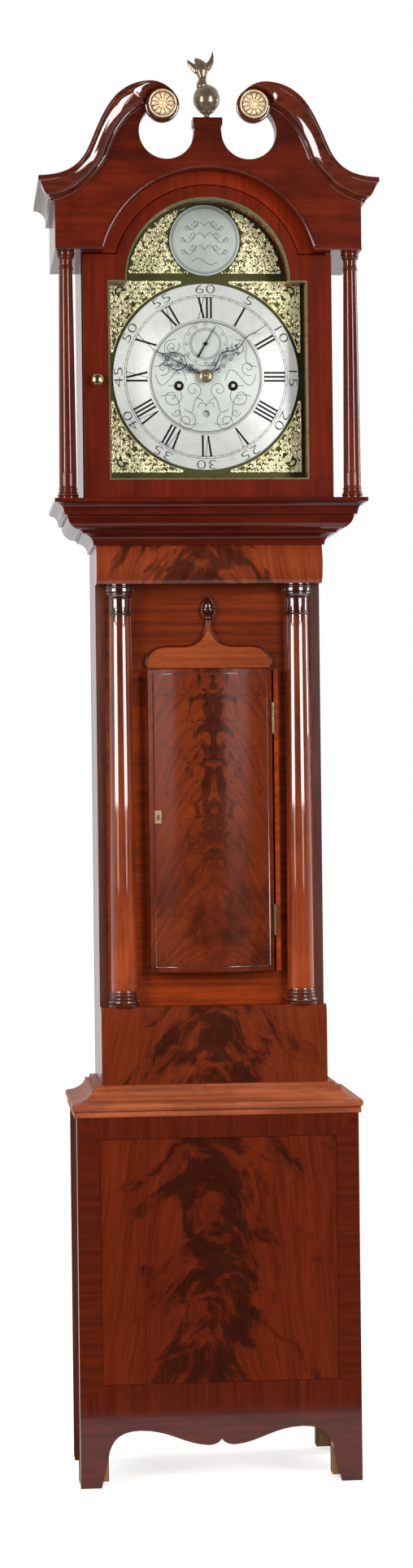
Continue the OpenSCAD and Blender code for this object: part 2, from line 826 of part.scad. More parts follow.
module finial() {
    z = z_top + plinth_up + cap_h;
    mid = (pediment_back + pediment_front) / 2;
    wing = [[0, 4], [4, 14], [10, 20], [15, 34], [19, 36], [20, 24], [17, 12], [9, 2]];
    color("#5b4a2c") {
        turned(0, mid, z, concat([[0, 0], [11, 0], [11, 2], [6, 3.5], [5, 6]],
            [for (a = [-75 : 15 : 75]) [ball_r * cos(a), 6 + ball_r * (1 + sin(a))]],
            [[4, 46.5], [3, 49], [0, 49]]));
        turned(0, mid, z + 44, [[0, 4], [4, 5], [7, 14], [8, 22], [6, 30], [3, 34], [0, 35]]);
        for (s = [-1, 1]) facing([mid - 3, mid + 3]) translate([0, z + 60]) scale([s, 1]) polygon(wing);
        translate([-3, back_y - mid, z + 82]) sphere(r = 5, $fn = 32);
    }
}

// Hood door

module hood_door_frame() {
    back = mask_front + hood_door_gap;
    color("#641f10") difference() {
        facing([back, door_front]) difference() {
            union() {
                translate([-hood_door_half, hood_door_low])
                    square([2 * hood_door_half, hood_door_shoulder - hood_door_low]);
                intersection() {
                    translate([0, sight_spring]) circle(r = door_arch_r);
                    translate([-door_arch_r, z_dial]) square(2 * door_arch_r);
                }
            }
            sight(bead_w);
        }
        facing([back - 1, back + rebate_t]) sight(rebate + slide_gap);
        for (z = [hood_door_low - 1, hood_door_shoulder - pin_in])
            translate([pivot_x, back_y - pivot_d, z]) cylinder(h = pin_in + 1, r = pivot_r);
    }
}

module hood_door_pins() {
    color("#b8923e") {
        translate([pivot_x, back_y - pivot_d, z_hood_floor - pin_out])
            cylinder(h = hood_door_low + pin_in - z_hood_floor + pin_out, r = pivot_r);
        translate([pivot_x, back_y - pivot_d, hood_door_shoulder - pin_in])
            cylinder(h = z_entablature + pin_out - hood_door_shoulder + pin_in, r = pivot_r);
    }
}

module hood_glass() {
    front = mask_front + hood_door_gap + rebate_t;
    color("#dfe8ea", 0.35) facing([front - glass_t, front]) sight(rebate);
}

module sight_bead() {
    bead_proud = 1.5;
    color("#c9a24a") facing([mask_front + hood_door_gap + rebate_t, door_front + bead_proud]) difference() {
        sight(bead_w);
        sight();
    }
}

module hood_knob() {
    knob_place = [-hood_door_half + 20, back_y - door_front, z_dial - 12.5];
    color("#c9a24a") translate(knob_place) rotate([90, 0, 0])
        rotate_extrude() polygon(concat([[0, 0], [7, 0], [7, 1.5], [3.5, 3], [3.5, 8]],
            [for (a = [-60 : 15 : 90]) [9 * cos(a), 15 + 5 * sin(a)]]));
}

// Dial

module dial_holes(seconds_r, square_r) {
    circle(r = hour_pipe_r + 1);
    translate(escape_spot) circle(r = seconds_r);
    for (s = [-1, 1]) translate([s * winding_x, -winding_down]) circle(r = square_r);
    translate([0, -date_down]) circle(r = 5.5);
}

module dial_plate() {
    low = z_dial - dial_w / 2 - dial_below;
    color("#7a6a35") {
        facing([dial_back, dial_face]) difference() {
            arched(dial_w / 2, low, low + dial_w + 2, dial_arch_r);
            translate([0, z_dial]) dial_holes(3, 6);
        }
        pair() for (z = [-58, 85]) arbor([56, z], 3, [dial_back - dial_space, dial_back]);
        arbor(date_spot, 2, [dial_back - 6, dial_back]);
    }
}

module chapter_ring() {
    color("#cfccc4") facing([dial_face, dial_face + ring_t]) translate([0, z_dial]) difference() {
        circle(r = chapter_r, $fn = 128);
        circle(r = chapter_in_r, $fn = 128);
    }
}

module dial_centre() {
    color("#cfccc4") facing([dial_face, dial_face + 0.8]) translate([0, z_dial]) difference() {
        circle(r = chapter_in_r, $fn = 128);
        dial_holes(3, 6);
    }
}

module dial_roundel() {
    color("#c6c6c2") facing([dial_face, dial_face + 2.5])
        translate([0, z_dial + roundel_up]) circle(r = roundel_r);
}

module spandrels() {
    edge = dial_w / 2 - 5;
    reach = 35;
    arch_up = dial_w / 2 - 7;
    color("#d8b04a") facing([dial_face, dial_face + spandrel_t]) translate([0, z_dial]) difference() {
        union() {
            for (a = [0 : 90 : 270]) rotate(a) translate([reach, reach]) square(edge - reach);
            translate([0, arch_up]) intersection() {
                circle(r = dial_arch_r - 6);
                translate([-dial_arch_r, 17]) square([2 * dial_arch_r, dial_arch_r]);
            }
        }
        circle(r = chapter_r + 3.5, $fn = 128);
        translate([0, roundel_up]) circle(r = roundel_r + 2);
    }
}

// Movement, fixed parts

arbor_holes = [[third_spot, arbor_r], [pin_spot, arbor_r], [[0, bend_up], arbor_r],
    [hammer_spot, arbor_r], [escape_spot, arbor_r], [centre_spot, centre_arbor_r],
    [great_spot, barrel_arbor_r], [strike_spot, barrel_arbor_r]];

module movement_frame() {
    color("#b8923e") difference() {
        union() {
            for (span = [[0, -plate_t], [back_face, plate_gap]])
                board([-plate_half, plate_half], stations(span), [z_seat_top, z_dial + plate_up]);
            pair() for (p = pillar_spots) arbor(p, pillar_r, [station(plate_gap), station(0)]);
            arbor(minute_spot, 2, [station(-plate_t), station(-plate_t - 12)]);
        }
        for (h = arbor_holes)
            arbor(h[0], h[1] + run_gap, [station(back_face + 1), station(-plate_t - 1)]);
    }
}

module back_cock() {
    bar = [z_dial + bend_up + 13, z_dial + bend_up + 27];
    rear = station(back_face);
    color("#b8923e") difference() {
        union() {
            board([-26, 26], [rod_d - 5, rod_d + 5], bar);
            pair() board([18, 26], [rod_d + 5, rear], bar);
            board([-8, 8], [rod_d + 5, rod_d + 8], [z_dial + bend_up - 8, bar[1]]);
        }
        arbor([0, bend_up], 1 + run_gap, [rod_d, rod_d + 12]);
        board([-1.5, 1.5], [rod_d - 6, rod_d + 4], [bar[0] - 1, bar[0] + 9]);
    }
}

module strike_bell() {
    z = z_dial + bell_up;
    dome = [for (a = [0 : 15 : 90]) [bell_r * cos(a), 6 + 26 * sin(a)]];
    inside = [for (a = [80 : -16 : 0]) [(bell_r - 3) * cos(a), 6 + 23 * sin(a)]];
    color("#a9b0a8") {
        turned(0, bell_d, z, concat([[bell_r, 0]], dome, [[0, 29]], inside, [[bell_r - 3, 0]]));
        translate([0, back_y - bell_d, z_dial + plate_up]) cylinder(h = bell_up - plate_up + 29, r = 3);
        board([-4, 4], [station(back_face), bell_d + 4], [z_dial + plate_up, z_dial + plate_up + 4]);
    }
}

// Wheels

module toothed(n, m, leaves = false) {
    r = n * m / 2;
    if (leaves) polygon(teeth(n, r + leaf_add * m, r - leaf_ded * m, leaf_tip, leaf_root));
    else polygon(teeth(n, r + wheel_add * m, r - wheel_ded * m, wheel_tip, wheel_root));
}

// A crossed-out wheel with four spokes, with one tooth pointing along an angle
module wheel(spot, d, n, m, at, bore, hub) {
    rim = n * m / 2 - 1.1 * m - 3;
    facing(d) translate([spot[0], z_dial + spot[1]]) difference() {
        rotate(at) toothed(n, m);
        if (rim > hub + 6) difference() {
            circle(r = rim);
            circle(r = hub);
            for (a = [0, 90]) rotate(a) square([2 * rim + 2, 3.5], center = true);
        }
        if (bore > 0) circle(r = bore);
    }
}

// A pinion with one gap pointing along an angle
module pinion(spot, d, n, m, at) {
    facing(d) translate([spot[0], z_dial + spot[1]]) rotate(at + 180 / n) toothed(n, m, true);
}

great_m = module_of(great_spot, centre_spot, 96, 8);
centre_m = module_of(centre_spot, third_spot, 60, 8);
third_m = module_of(third_spot, escape_spot, 56, 7);
strike_m = module_of(strike_spot, pin_spot, 84, 8);
cannon_m = module_of(centre_spot, minute_spot, 40, 40);
hour_m = module_of(centre_spot, minute_spot, 72, 6);

module going_great_wheel() {
    color("#b8923e") wheel(great_spot, stations(great_at), 96, great_m, aim(great_spot, centre_spot),
        barrel_arbor_r + run_gap, 12);
}

module centre_wheel() {
    color("#b8923e") {
        wheel(centre_spot, stations(centre_at), 60, centre_m, aim(centre_spot, third_spot), 0, 8);
        pinion(centre_spot, stations(great_leaves_at), 8, great_m, aim(centre_spot, great_spot));
        arbor(centre_spot, centre_arbor_r, [station(back_face), station(great_leaves_at[0])]);
        arbor(centre_spot, centre_arbor_r, stations([great_leaves_at[1], centre_at[0]]));
        arbor(centre_spot, centre_arbor_r, [station(centre_at[1]), dial_face + 13]);
    }
}

module third_wheel() {
    color("#b8923e") {
        wheel(third_spot, stations(third_at), 56, third_m, aim(third_spot, escape_spot), 0, 6);
        pinion(third_spot, stations(centre_leaves_at), 8, centre_m, aim(third_spot, centre_spot));
        arbor(third_spot, arbor_r, stations([back_face, third_at[0]]));
        arbor(third_spot, arbor_r, stations([third_at[1], centre_leaves_at[0]]));
        arbor(third_spot, arbor_r, stations([centre_leaves_at[1], -plate_t]));
    }
}

module escape_wheel() {
    tip_r = 20;
    root_r = 16;
    rim_r = 13;
    color("#b8923e") {
        facing(stations(escape_at)) translate([0, z_dial] + escape_spot) difference() {
            polygon([for (i = [0 : 29]) for (c = [[root_r, -0.3], [tip_r, 0.35], [root_r, 0.3]])
                polar(c[0], (i + c[1]) * 12)]);
            difference() {
                circle(r = rim_r);
                circle(r = 5);
                for (a = [0, 90]) rotate(a) square([2 * rim_r + 4, 2.5], center = true);
            }
        }
        pinion(escape_spot, stations(escape_leaves_at), 7, third_m, aim(escape_spot, third_spot));
        arbor(escape_spot, arbor_r, stations([back_face, escape_leaves_at[0]]));
        arbor(escape_spot, arbor_r, stations([escape_leaves_at[1], escape_at[0]]));
        arbor(escape_spot, arbor_r, [station(escape_at[1]), dial_face + 3.5]);
    }
}

module strike_great_wheel() {
    color("#b8923e") wheel(strike_spot, stations(great_at), 84, strike_m, aim(strike_spot, pin_spot),
        barrel_arbor_r + run_gap, 12);
}

module pin_wheel() {
    leaves = [great_leaves_at[0] - 0.5, great_leaves_at[1]];
    color("#b8923e") {
        wheel(pin_spot, stations(pin_at), 64, 0.8, 0, 0, 6);
        pinion(pin_spot, stations(leaves), 8, strike_m, aim(pin_spot, strike_spot));
        for (a = [0 : 45 : 315])
            arbor(pin_spot + polar(pin_circle_r, a), 1, stations([pin_tip, pin_at[0]]));
        arbor(pin_spot, arbor_r, stations([back_face, pin_at[0]]));
        arbor(pin_spot, arbor_r, stations([pin_at[1], leaves[0]]));
        arbor(pin_spot, arbor_r, stations([leaves[1], -plate_t]));
    }
}

// A winding barrel: arbor with a square, drum between its caps, and ratchet teeth on the rear cap
module barrel(spot) {
    square_half = 3.2;
    cap_rim = 4;
    cap_t = 2;
    click_t = 2.5;
    color("#b8923e") {
        arbor(spot, drum_r, stations(drum_at));
        arbor(spot, drum_r + cap_rim, stations([drum_at[1], drum_at[1] - cap_t]));
        facing(stations([drum_at[0] + click_t, drum_at[0]])) translate([spot[0], z_dial + spot[1]])
            polygon([for (i = [0 : 29]) for (c = [[drum_r + 1.5, 0.1], [drum_r + cap_rim, 0.9]])
                polar(c[0], (i + c[1]) * 12)]);
        arbor(spot, barrel_arbor_r, stations([back_face, drum_at[0] + click_t]));
        arbor(spot, barrel_arbor_r, [station(drum_at[1] - cap_t), dial_back - 8]);
        board([spot[0] - square_half, spot[0] + square_half], [dial_back - 8, dial_face + 4],
            [z_dial + spot[1] - square_half, z_dial + spot[1] + square_half]);
    }
}

module going_barrel() barrel(great_spot);
module strike_barrel() barrel(strike_spot);

module minute_wheel() {
    to_centre = aim(minute_spot, centre_spot);
    half_pitch = 180 / 40;
    color("#b8923e") difference() {
        union() {
            wheel(minute_spot, stations(cannon_at), 40, cannon_m, to_centre + half_pitch, 0, 5);
            pinion(minute_spot, stations([cannon_at[1], hour_wheel_at[1]]), 6, hour_m, to_centre);
        }
        arbor(minute_spot, 2 + run_gap, [station(0), station(-plate_t - 12)]);
    }
}

// Hands

// A thin blade along a smooth curve through points, each with its half width
module blade(points) {
    spine = smooth_path(points, 4);
    polygon(concat([for (p = spine) [p[0] - p[2], p[1]]], reverse([for (p = spine) [p[0] + p[2], p[1]]])));
}

module minute_hand() {
    plane = dial_face + 11;
    color("#23252b") difference() {
        union() {
            facing([plane, plane + 1]) translate([0, z_dial]) rotate(-minute_at) {
                blade([[0, 4, 2.2], [-2.5, 16, 2], [-6.4, 28, 1.7], [-11, 40, 1.5], [-9, 48, 1.4],
                    [-3, 58, 1.3], [-0.5, 66, 1.2], [-2.5, 76, 1.1], [-6, 85, 1.1], [-4.5, 95, 0.9],
                    [-2.4, 108, 0.7], [0, minute_l, 0.4]]);
            }
            arbor(centre_spot, 9, [plane, plane + 1.6]);
            arbor(centre_spot, cannon_r, [station(cannon_at[0]), plane]);
            facing(stations(cannon_at)) translate([0, z_dial])
                rotate(aim(centre_spot, minute_spot)) toothed(40, cannon_m);
        }
        arbor(centre_spot, centre_arbor_r + run_gap, [station(-plate_t), dial_face + 14]);
    }
}

module hour_hand() {
    plane = dial_face + 7;
    color("#23252b") difference() {
        union() {
            facing([plane, plane + 1]) translate([0, z_dial]) rotate(-hour_at) {
                difference() {
                    blade([[0, 4, 2.5], [0, 12, 4.5], [0, 20, 3.6], [0, 30, 8], [0, 42, 12], [0, 54, 11],
                        [0, 64, 5], [0, 74, 1.8], [0, hour_l, 0.4]]);
                    translate([0, 12.5]) circle(r = 2.2);
                    translate([0, 28]) circle(r = 3.4);
                    for (s = [-1, 1]) {
                        translate([s * 5.4, 39]) circle(r = 3.8);
                        translate([s * 5, 50.5]) circle(r = 3.6);
                    }
                    translate([0, 60]) circle(r = 2.6);
                }
            }
            arbor(centre_spot, 10, [plane, plane + 1.4]);
            arbor(centre_spot, hour_pipe_r, [station(hour_wheel_at[0]), plane]);
            wheel(centre_spot, stations(hour_wheel_at), 72, hour_m, aim(centre_spot, minute_spot), 0, 9);
        }
        arbor(centre_spot, cannon_r + run_gap, [station(-plate_t), dial_face + 14]);
    }
}

module seconds_hand() {
    plane = dial_face + 3.5;
    color("#23252b") {
        facing([plane, plane + 0.8]) translate([0, z_dial] + escape_spot) rotate(-seconds_at)
            polygon([[-1.6, -24], [-0.8, 0], [-0.5, seconds_l], [0.5, seconds_l], [0.8, 0], [1.6, -24]]);
        arbor(escape_spot, 3, [plane, plane + 1.2]);
    }
}

module strike_hammer() {
    arm_half = 2;
    head_r = 5;
    head_back = 6;
    tail_l = gap_between(hammer_spot, pin_spot) - pin_circle_r - 1.8;
    color("#8d8f92") {
        arbor(hammer_spot, arbor_r, stations([back_face, -plate_t]));
        board([hammer_spot[0] - arm_half, hammer_spot[0] + arm_half],
            [bell_d - arm_half, bell_d + arm_half], [z_dial + hammer_spot[1], z_dial + bell_up + 10]);
        translate([hammer_spot[0] - head_back, back_y - bell_d, z_dial + bell_up + 5]) rotate([0, 90, 0])
            cylinder(h = head_back - hammer_spot[0] - bell_r - 3.2, r = head_r);
        facing(stations([pin_tip, pin_tip - 2.5])) translate([hammer_spot[0], z_dial + hammer_spot[1]])
            rotate(aim(hammer_spot, pin_spot)) translate([0, -1.5]) square([tail_l, 3]);
    }
}

module anchor_and_crutch() {
    rear = station(back_face);
    color("#8d8f92") {
        arbor([0, bend_up], arbor_r, [rear, station(-plate_t)]);
        arbor([0, bend_up], 1, [rod_d + 5, rear]);
        facing(stations(escape_at)) translate([0, z_dial + bend_up]) difference() {
            polygon([[-3, 6], [-17, -2], [-19, -13], [-17, -15.5], [-13, -5], [0, -3],
                [13, -5], [17, -15.5], [19, -13], [17, -2], [3, 6]]);
            circle(r = arbor_r - 0.3);
        }
        board([-1.5, 1.5], [rear - 4, rear - 1], [z_dial - 30, z_dial + bend_up + 3]);
        pair() board([rod_r + 0.3, rod_r + 3], [rod_d - 4, rear - 1], [z_dial - 34, z_dial - 30]);
        board([-rod_r - 3, rod_r + 3], [rear - 4, rear - 1], [z_dial - 34, z_dial - 30]);
    }
}

module pendulum() {
    bend = z_dial + bend_up;
    bob_z = bend - pendulum_l;
    rod_foot = bob_z - bob_d / 2 - 22;
    bob_half_t = 10;
    color("#b0884a") {
        board([-0.3, 0.3], [rod_d - 3, rod_d + 3], [bend - 12, bend + 20]);
        board([-3, 3], [rod_d - 4, rod_d + 4], [bend - 26, bend - 12]);
        translate([0, back_y - rod_d, rod_foot]) cylinder(h = bend - 24 - rod_foot, r = rod_r);
        translate([0, back_y - rod_d, bob_z]) rotate([90, 0, 0]) rotate_extrude()
            polygon(concat([[0, -bob_half_t]],
                [for (a = [-75 : 15 : 75]) [bob_d / 2 * cos(a), bob_half_t * sin(a)]], [[0, bob_half_t]]));
        translate([0, back_y - rod_d, bob_z - bob_d / 2 - 16]) cylinder(h = 8, r = 7);
    }
}

// A driving weight with its pulley, hung in a stirrup
module weight(x) {
    d = station(line_at);
    top = pulley_z - drum_r - 16;
    cheek = 7;
    flange_r = drum_r + pulley_wall;
    color("#8f8a80") {
        translate([x, back_y - d, top - weight_h]) cylinder(h = weight_h, r = weight_d / 2);
        turned(x, d, top, [[0, 0], [12, 0], [12, 3], [3, 6], [3, 8], [0, 8]]);
    }
    color("#b8923e") {
        for (side = [[-cheek, 2 - cheek], [cheek - 2, cheek]])
            board([x - 4, x + 4], [d + side[0], d + side[1]], [top + 8, pulley_z + 5]);
        board([x - 4, x + 4], [d - cheek, d + cheek], [top + 8, top + 11]);
        translate([x, back_y - d, pulley_z]) rotate([90, 0, 0]) rotate_extrude()
            polygon([[0, -4.5], [flange_r, -4.5], [flange_r, -3.5], [drum_r, -1],
                [drum_r, 1], [flange_r, 3.5], [flange_r, 4.5], [0, 4.5]]);
        translate([x, back_y - d + cheek, pulley_z]) rotate([90, 0, 0]) cylinder(h = 2 * cheek, r = 2);
    }
}

module going_weight() weight(winding_x);
module strike_weight() weight(-winding_x);

// The gut line: down from the drum, round the pulley, up to the seatboard
module line(x) {
    d = station(line_at);
    color("#c9b48a") {
        translate([x - line_reach, back_y - d, pulley_z])
            cylinder(h = z_dial - winding_down - pulley_z, r = line_r);
        translate([x + line_reach, back_y - d, pulley_z])
            cylinder(h = z_seat_top - seat_t - pulley_z, r = line_r);
        translate([x, back_y - d, pulley_z]) rotate([-90, 0, 0]) rotate_extrude(angle = 180)
            translate([line_reach, 0]) circle(r = line_r);
    }
}

module going_line() line(winding_x);
module strike_line() line(-winding_x);

module date_disc() {
    gap = 2.5;
    color("#cfccc4") facing([dial_back - gap - 1, dial_back - gap]) translate([0, z_dial] + date_spot)
        difference() {
            circle(r = date_r);
            circle(r = 2 + run_gap);
        }
}

backboard();
trunk_sides();
trunk_front();
trunk_frieze();
trunk_plinth();
trunk_columns();
ogee_panel();
throat_moulding();
base_moulding();
base_front();
base_sides();
base_floor();
bracket_skirt();
seatboard();
trunk_hinges_fixed();
trunk_door_panel();
trunk_hinges_moving();
escutcheon();
hood_base();
hood_carcase();
hood_mask();
hood_columns();
tympanum();
entablature_returns();
swan_necks();
rosettes();
finial();
hood_door_frame();
hood_door_pins();
hood_glass();
sight_bead();
hood_knob();
movement_frame();
back_cock();
strike_bell();
dial_plate();
chapter_ring();
dial_centre();
dial_roundel();
spandrels();
minute_hand();
minute_wheel();
hour_hand();
seconds_hand();
escape_wheel();
third_wheel();
centre_wheel();
going_great_wheel();
going_barrel();
strike_barrel();
strike_great_wheel();
pin_wheel();
strike_hammer();
anchor_and_crutch();
pendulum();
going_weight();
strike_weight();
going_line();
strike_line();
date_disc();
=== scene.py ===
# %% [markdown]
# # A longcase clock
# The clock's construction comes packed as a frame: every board, wheel and hand is there at its real size.
# This file gives each of them its finish, and adds what is too fine for construction work: engraving,
# cast ornament, turned brass and mouldings that follow a curve. Everything is in metres, Z points up,
# and the dial faces towards -Y.

# %% The frame
import math
import bmesh
import bpy
import numpy as np
from mathutils import Euler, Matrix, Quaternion, Vector


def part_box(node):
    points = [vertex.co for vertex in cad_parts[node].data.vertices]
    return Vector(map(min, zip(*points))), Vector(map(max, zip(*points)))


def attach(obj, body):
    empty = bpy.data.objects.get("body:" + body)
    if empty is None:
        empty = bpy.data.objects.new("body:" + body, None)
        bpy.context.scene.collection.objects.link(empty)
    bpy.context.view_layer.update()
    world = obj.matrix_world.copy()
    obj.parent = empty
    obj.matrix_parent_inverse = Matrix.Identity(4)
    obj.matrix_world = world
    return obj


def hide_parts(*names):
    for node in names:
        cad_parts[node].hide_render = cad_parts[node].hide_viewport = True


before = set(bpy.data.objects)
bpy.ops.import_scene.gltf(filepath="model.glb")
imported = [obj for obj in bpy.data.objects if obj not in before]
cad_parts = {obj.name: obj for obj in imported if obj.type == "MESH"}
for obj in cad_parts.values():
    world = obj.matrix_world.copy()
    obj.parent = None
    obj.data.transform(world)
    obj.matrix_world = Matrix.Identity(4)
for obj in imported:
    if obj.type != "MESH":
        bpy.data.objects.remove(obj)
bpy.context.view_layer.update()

# %% [markdown]
# The camera comes before anything else. A photograph of furniture is taken from well back with a long
# lens, so that the uprights stay parallel. This camera stands 4.6 m away and a little to the left, at
# half the clock's height. It looks level, because a tilted camera would make the sides converge, and
# its horizon leans by two thirds of a degree, as a hand-set tripod leaves it.

# %% Camera
eye = Vector((-0.42, -4.687, 1.069))
yaw, lean = 0.0887, -0.0115
level = Euler((math.pi / 2, 0, -yaw)).to_quaternion()
bpy.ops.object.camera_add(location=eye)
camera = bpy.context.object
camera.rotation_euler = (level @ Quaternion((0, 0, 1), lean)).to_euler()
camera.data.sensor_width = 36
camera.data.lens = 69.3
bpy.context.scene.camera = camera
print("camera", tuple(round(v, 3) for v in eye))

# %% [markdown]
# Polish shows itself by what it mirrors. A low, wide softbox on each side of the camera lights the
# middle of the clock, and a narrower, brighter one stands over it and draws the bright line down each
# turned column. A faint strip under each pair leads the line on to the column's foot, and a narrow
# lamp far to the right adds a thin line near the edge. The light is plain and white, so that each
# colour shows about as it is written.

# %% Lamps
target = Vector((0, -0.1, 1.5))


def softbox(azimuth, distance, base, width, height, radiance):
    turn = math.radians(azimuth)
    place = Vector((math.sin(turn) * distance, -math.cos(turn) * distance, base + height / 2))
    bpy.ops.object.light_add(type="AREA", location=place)
    lamp = bpy.context.object
    lamp.data.shape = "RECTANGLE"
    lamp.data.size, lamp.data.size_y = width, height
    lamp.data.energy = radiance * math.pi * width * height
    lamp.rotation_euler = (target - place).to_track_quat("-Z", "Y").to_euler()


for azimuth, wide in ((-54, 1.7), (33, 1.5)):
    softbox(azimuth, 3.0, 1.05, wide, 0.65, 10)
for azimuth, wide in ((-46, 0.6), (30, 0.6)):
    softbox(azimuth, 3.0, 1.72, wide, 0.95, 19)
    softbox(azimuth, 3.0, 0.84, wide, 0.2, 3)
softbox(103, 2.6, 1.2, 0.35, 1.1, 18)

# %% [markdown]
# Each finish is a small network of nodes. A helper keeps the recipes short: it adds a node, links what
# it is given, and returns a signal to pass on. Signals can be added and multiplied like numbers. Numbers
# that are the same all over a surface go straight onto the shader.


# %% Recipe helper
class Signal:
    """A value on its way through a node tree. Each sign of arithmetic adds a Math node."""

    def __init__(self, nodes, socket):
        self.nodes, self.socket = nodes, socket

    def __add__(self, other):
        return self.nodes.math("ADD", self, other)

    def __sub__(self, other):
        return self.nodes.math("SUBTRACT", self, other)

    def __rsub__(self, other):
        return self.nodes.math("SUBTRACT", other, self)

    def __mul__(self, other):
        return self.nodes.math("MULTIPLY", self, other)

    def __truediv__(self, other):
        return self.nodes.math("DIVIDE", self, other)

    def __abs__(self):
        return self.nodes.math("ABSOLUTE", self)


class Nodes:
    """A node tree with short ways to add to it."""

    def __init__(self, tree):
        self.tree = tree

    def feed(self, socket, value):
        if isinstance(value, Signal):
            self.tree.links.new(value.socket, socket)
        elif isinstance(value, tuple) and len(value) == 3 and len(socket.default_value) == 4:
            socket.default_value = (*value, 1)
        else:
            socket.default_value = value

    def add(self, kind, inputs, output=0, **settings):
        node = self.tree.nodes.new("ShaderNode" + kind)
        for name, setting in settings.items():
            setattr(node, name, setting)
        for socket, value in inputs.items():
            self.feed(node.inputs[socket], value)
        return Signal(self, node.outputs[output])

    def math(self, operation, *values):
        return self.add("Math", dict(enumerate(values)), operation=operation)

    def larger(self, a, b):
        return self.math("MAXIMUM", a, b)

    def span(self, value, low, high, to_low=0.0, to_high=1.0, kind="SMOOTHSTEP"):
        return self.add("MapRange", {"Value": value, "From Min": low, "From Max": high, "To Min": to_low,
                                     "To Max": to_high}, interpolation_type=kind)

    def rays(self, kind):
        """1 where a ray of this kind looks, 0 elsewhere."""
        return self.add("LightPath", {}, "Is " + kind + " Ray")


FINISHES = {}


class Recipe(Nodes):
    """A material in the making, kept in FINISHES under its name."""

    def __init__(self, name, color=(0.8, 0.8, 0.8), **sockets):
        material = FINISHES[name] = bpy.data.materials.new(name)
        material.use_nodes = True
        super().__init__(material.node_tree)
        self.shader = self.tree.nodes["Principled BSDF"].inputs
        self.color(color)
        for socket, value in sockets.items():
            self.shader[socket.replace("_", " ")].default_value = value
        self.place = self.add("TexCoord", {}, "Object")

    def map(self, *scale):
        return self.add("Mapping", {"Vector": self.place, "Scale": scale if len(scale) == 3 else scale * 3})

    def join(self, x, y, z):
        return self.add("CombineXYZ", {0: x, 1: y, 2: z})

    def axes(self):
        return [self.add("SeparateXYZ", {0: self.place}, axis) for axis in "XYZ"]

    def noise(self, vector, detail=4.0, roughness=0.5, distortion=0.0):
        return self.add("TexNoise", {"Vector": vector, "Scale": 1.0, "Detail": detail, "Roughness": roughness,
                                     "Distortion": distortion}, "Fac")

    def ramp(self, value, *stops):
        signal = self.add("ValToRGB", {0: value})
        band = signal.socket.node.color_ramp
        while len(band.elements) < len(stops):
            band.elements.new(0.5)
        for element, (position, color) in zip(band.elements, stops):
            element.position = position
            element.color = (*color, 1)
        return signal

    def mix(self, amount, a, b, mode="MIX"):
        return self.add("Mix", {0: amount, 6: a, 7: b}, 2, data_type="RGBA", blend_type=mode)

    def darken(self, amount, color, factor):
        return self.mix(amount, color, factor, "MULTIPLY")

    def bump(self, height, strength, distance=0.0005):
        self.feed(self.shader["Normal"], self.add("Bump", {"Height": height, "Strength": strength,
                                                           "Distance": distance}))

    def color(self, value):
        self.feed(self.shader["Base Color"], value)

    def rough(self, value):
        self.feed(self.shader["Roughness"], value)


print("recipe helper ready")

# %% [markdown]
# The room behind the clock is white and the room behind the camera is dim. The world does this by
# direction: what lies behind the clock is white to the eye and in every reflection, and it darkens
# towards the front, so that flat polished panels stay deep in colour. The floor is a pale plain sheet
# that glows a little wherever it is seen, as a lit paper roll does.

# %% Room and floor
world = bpy.context.scene.world or bpy.data.worlds.new("room")
bpy.context.scene.world = world
world.use_nodes = True
room = Nodes(world.node_tree)
background = room.tree.nodes["Background"]
facing = room.add("SeparateXYZ", {0: room.add("TexCoord", {}, "Generated")}, "Y")
depth = room.span(facing, -0.6, 0.5, 0.03, 1.0, "LINEAR")
by_depth = room.larger(room.rays("Glossy"), room.rays("Transmission")) * depth
shown = room.rays("Camera") + (by_depth + room.rays("Diffuse") * 0.36)
room.feed(background.inputs["Strength"], shown)
background.inputs["Color"].default_value = (1, 1, 1, 1)
bpy.context.scene.view_settings.view_transform = "Standard"

bpy.ops.mesh.primitive_plane_add(size=3.4, location=(0, 1.08, -0.0005))
floor = bpy.context.object
floor.name = "floor"
paint = Recipe("floor_paint", (0.86, 0.86, 0.86), Roughness=0.7, Emission_Color=(1, 1, 1, 1))
looked_at = paint.larger(paint.larger(paint.rays("Camera"), paint.rays("Glossy")), paint.rays("Transmission"))
paint.feed(paint.shader["Emission Strength"], looked_at * 0.66)
floor.data.materials.append(FINISHES["floor_paint"])
print("room and floor ready")

# %% [markdown]
# Mahogany under French polish. The grain is a noise stretched along the board, broad clouds of darker
# wood lie over it, and open pores show as short dark dashes. The polish is a clear coat over the wood:
# that gives the sharp mirror on top of a soft colour, as shellac does.

# %% Plain mahogany
POLISH = dict(Roughness=0.5, Specular_IOR_Level=0.05, Coat_Weight=0.6, Coat_Roughness=0.08, Coat_IOR=1.5)


def grain(recipe, along, across_scale, along_scale, **noise):
    """A noise that is stretched along one axis of the object."""
    return recipe.noise(recipe.map(*(along_scale if axis == along else across_scale for axis in "XYZ")), **noise)


def pores(recipe, along, color, amount=0.45):
    """The last step of every wood: short dark dashes along the grain, which also dent the surface."""
    depth = recipe.span(grain(recipe, along, 1100, 70, detail=1), 0.60, 0.72)
    recipe.color(recipe.darken(depth * amount, color, (0.3, 0.2, 0.16)))
    recipe.bump(depth * -1, 0.1)


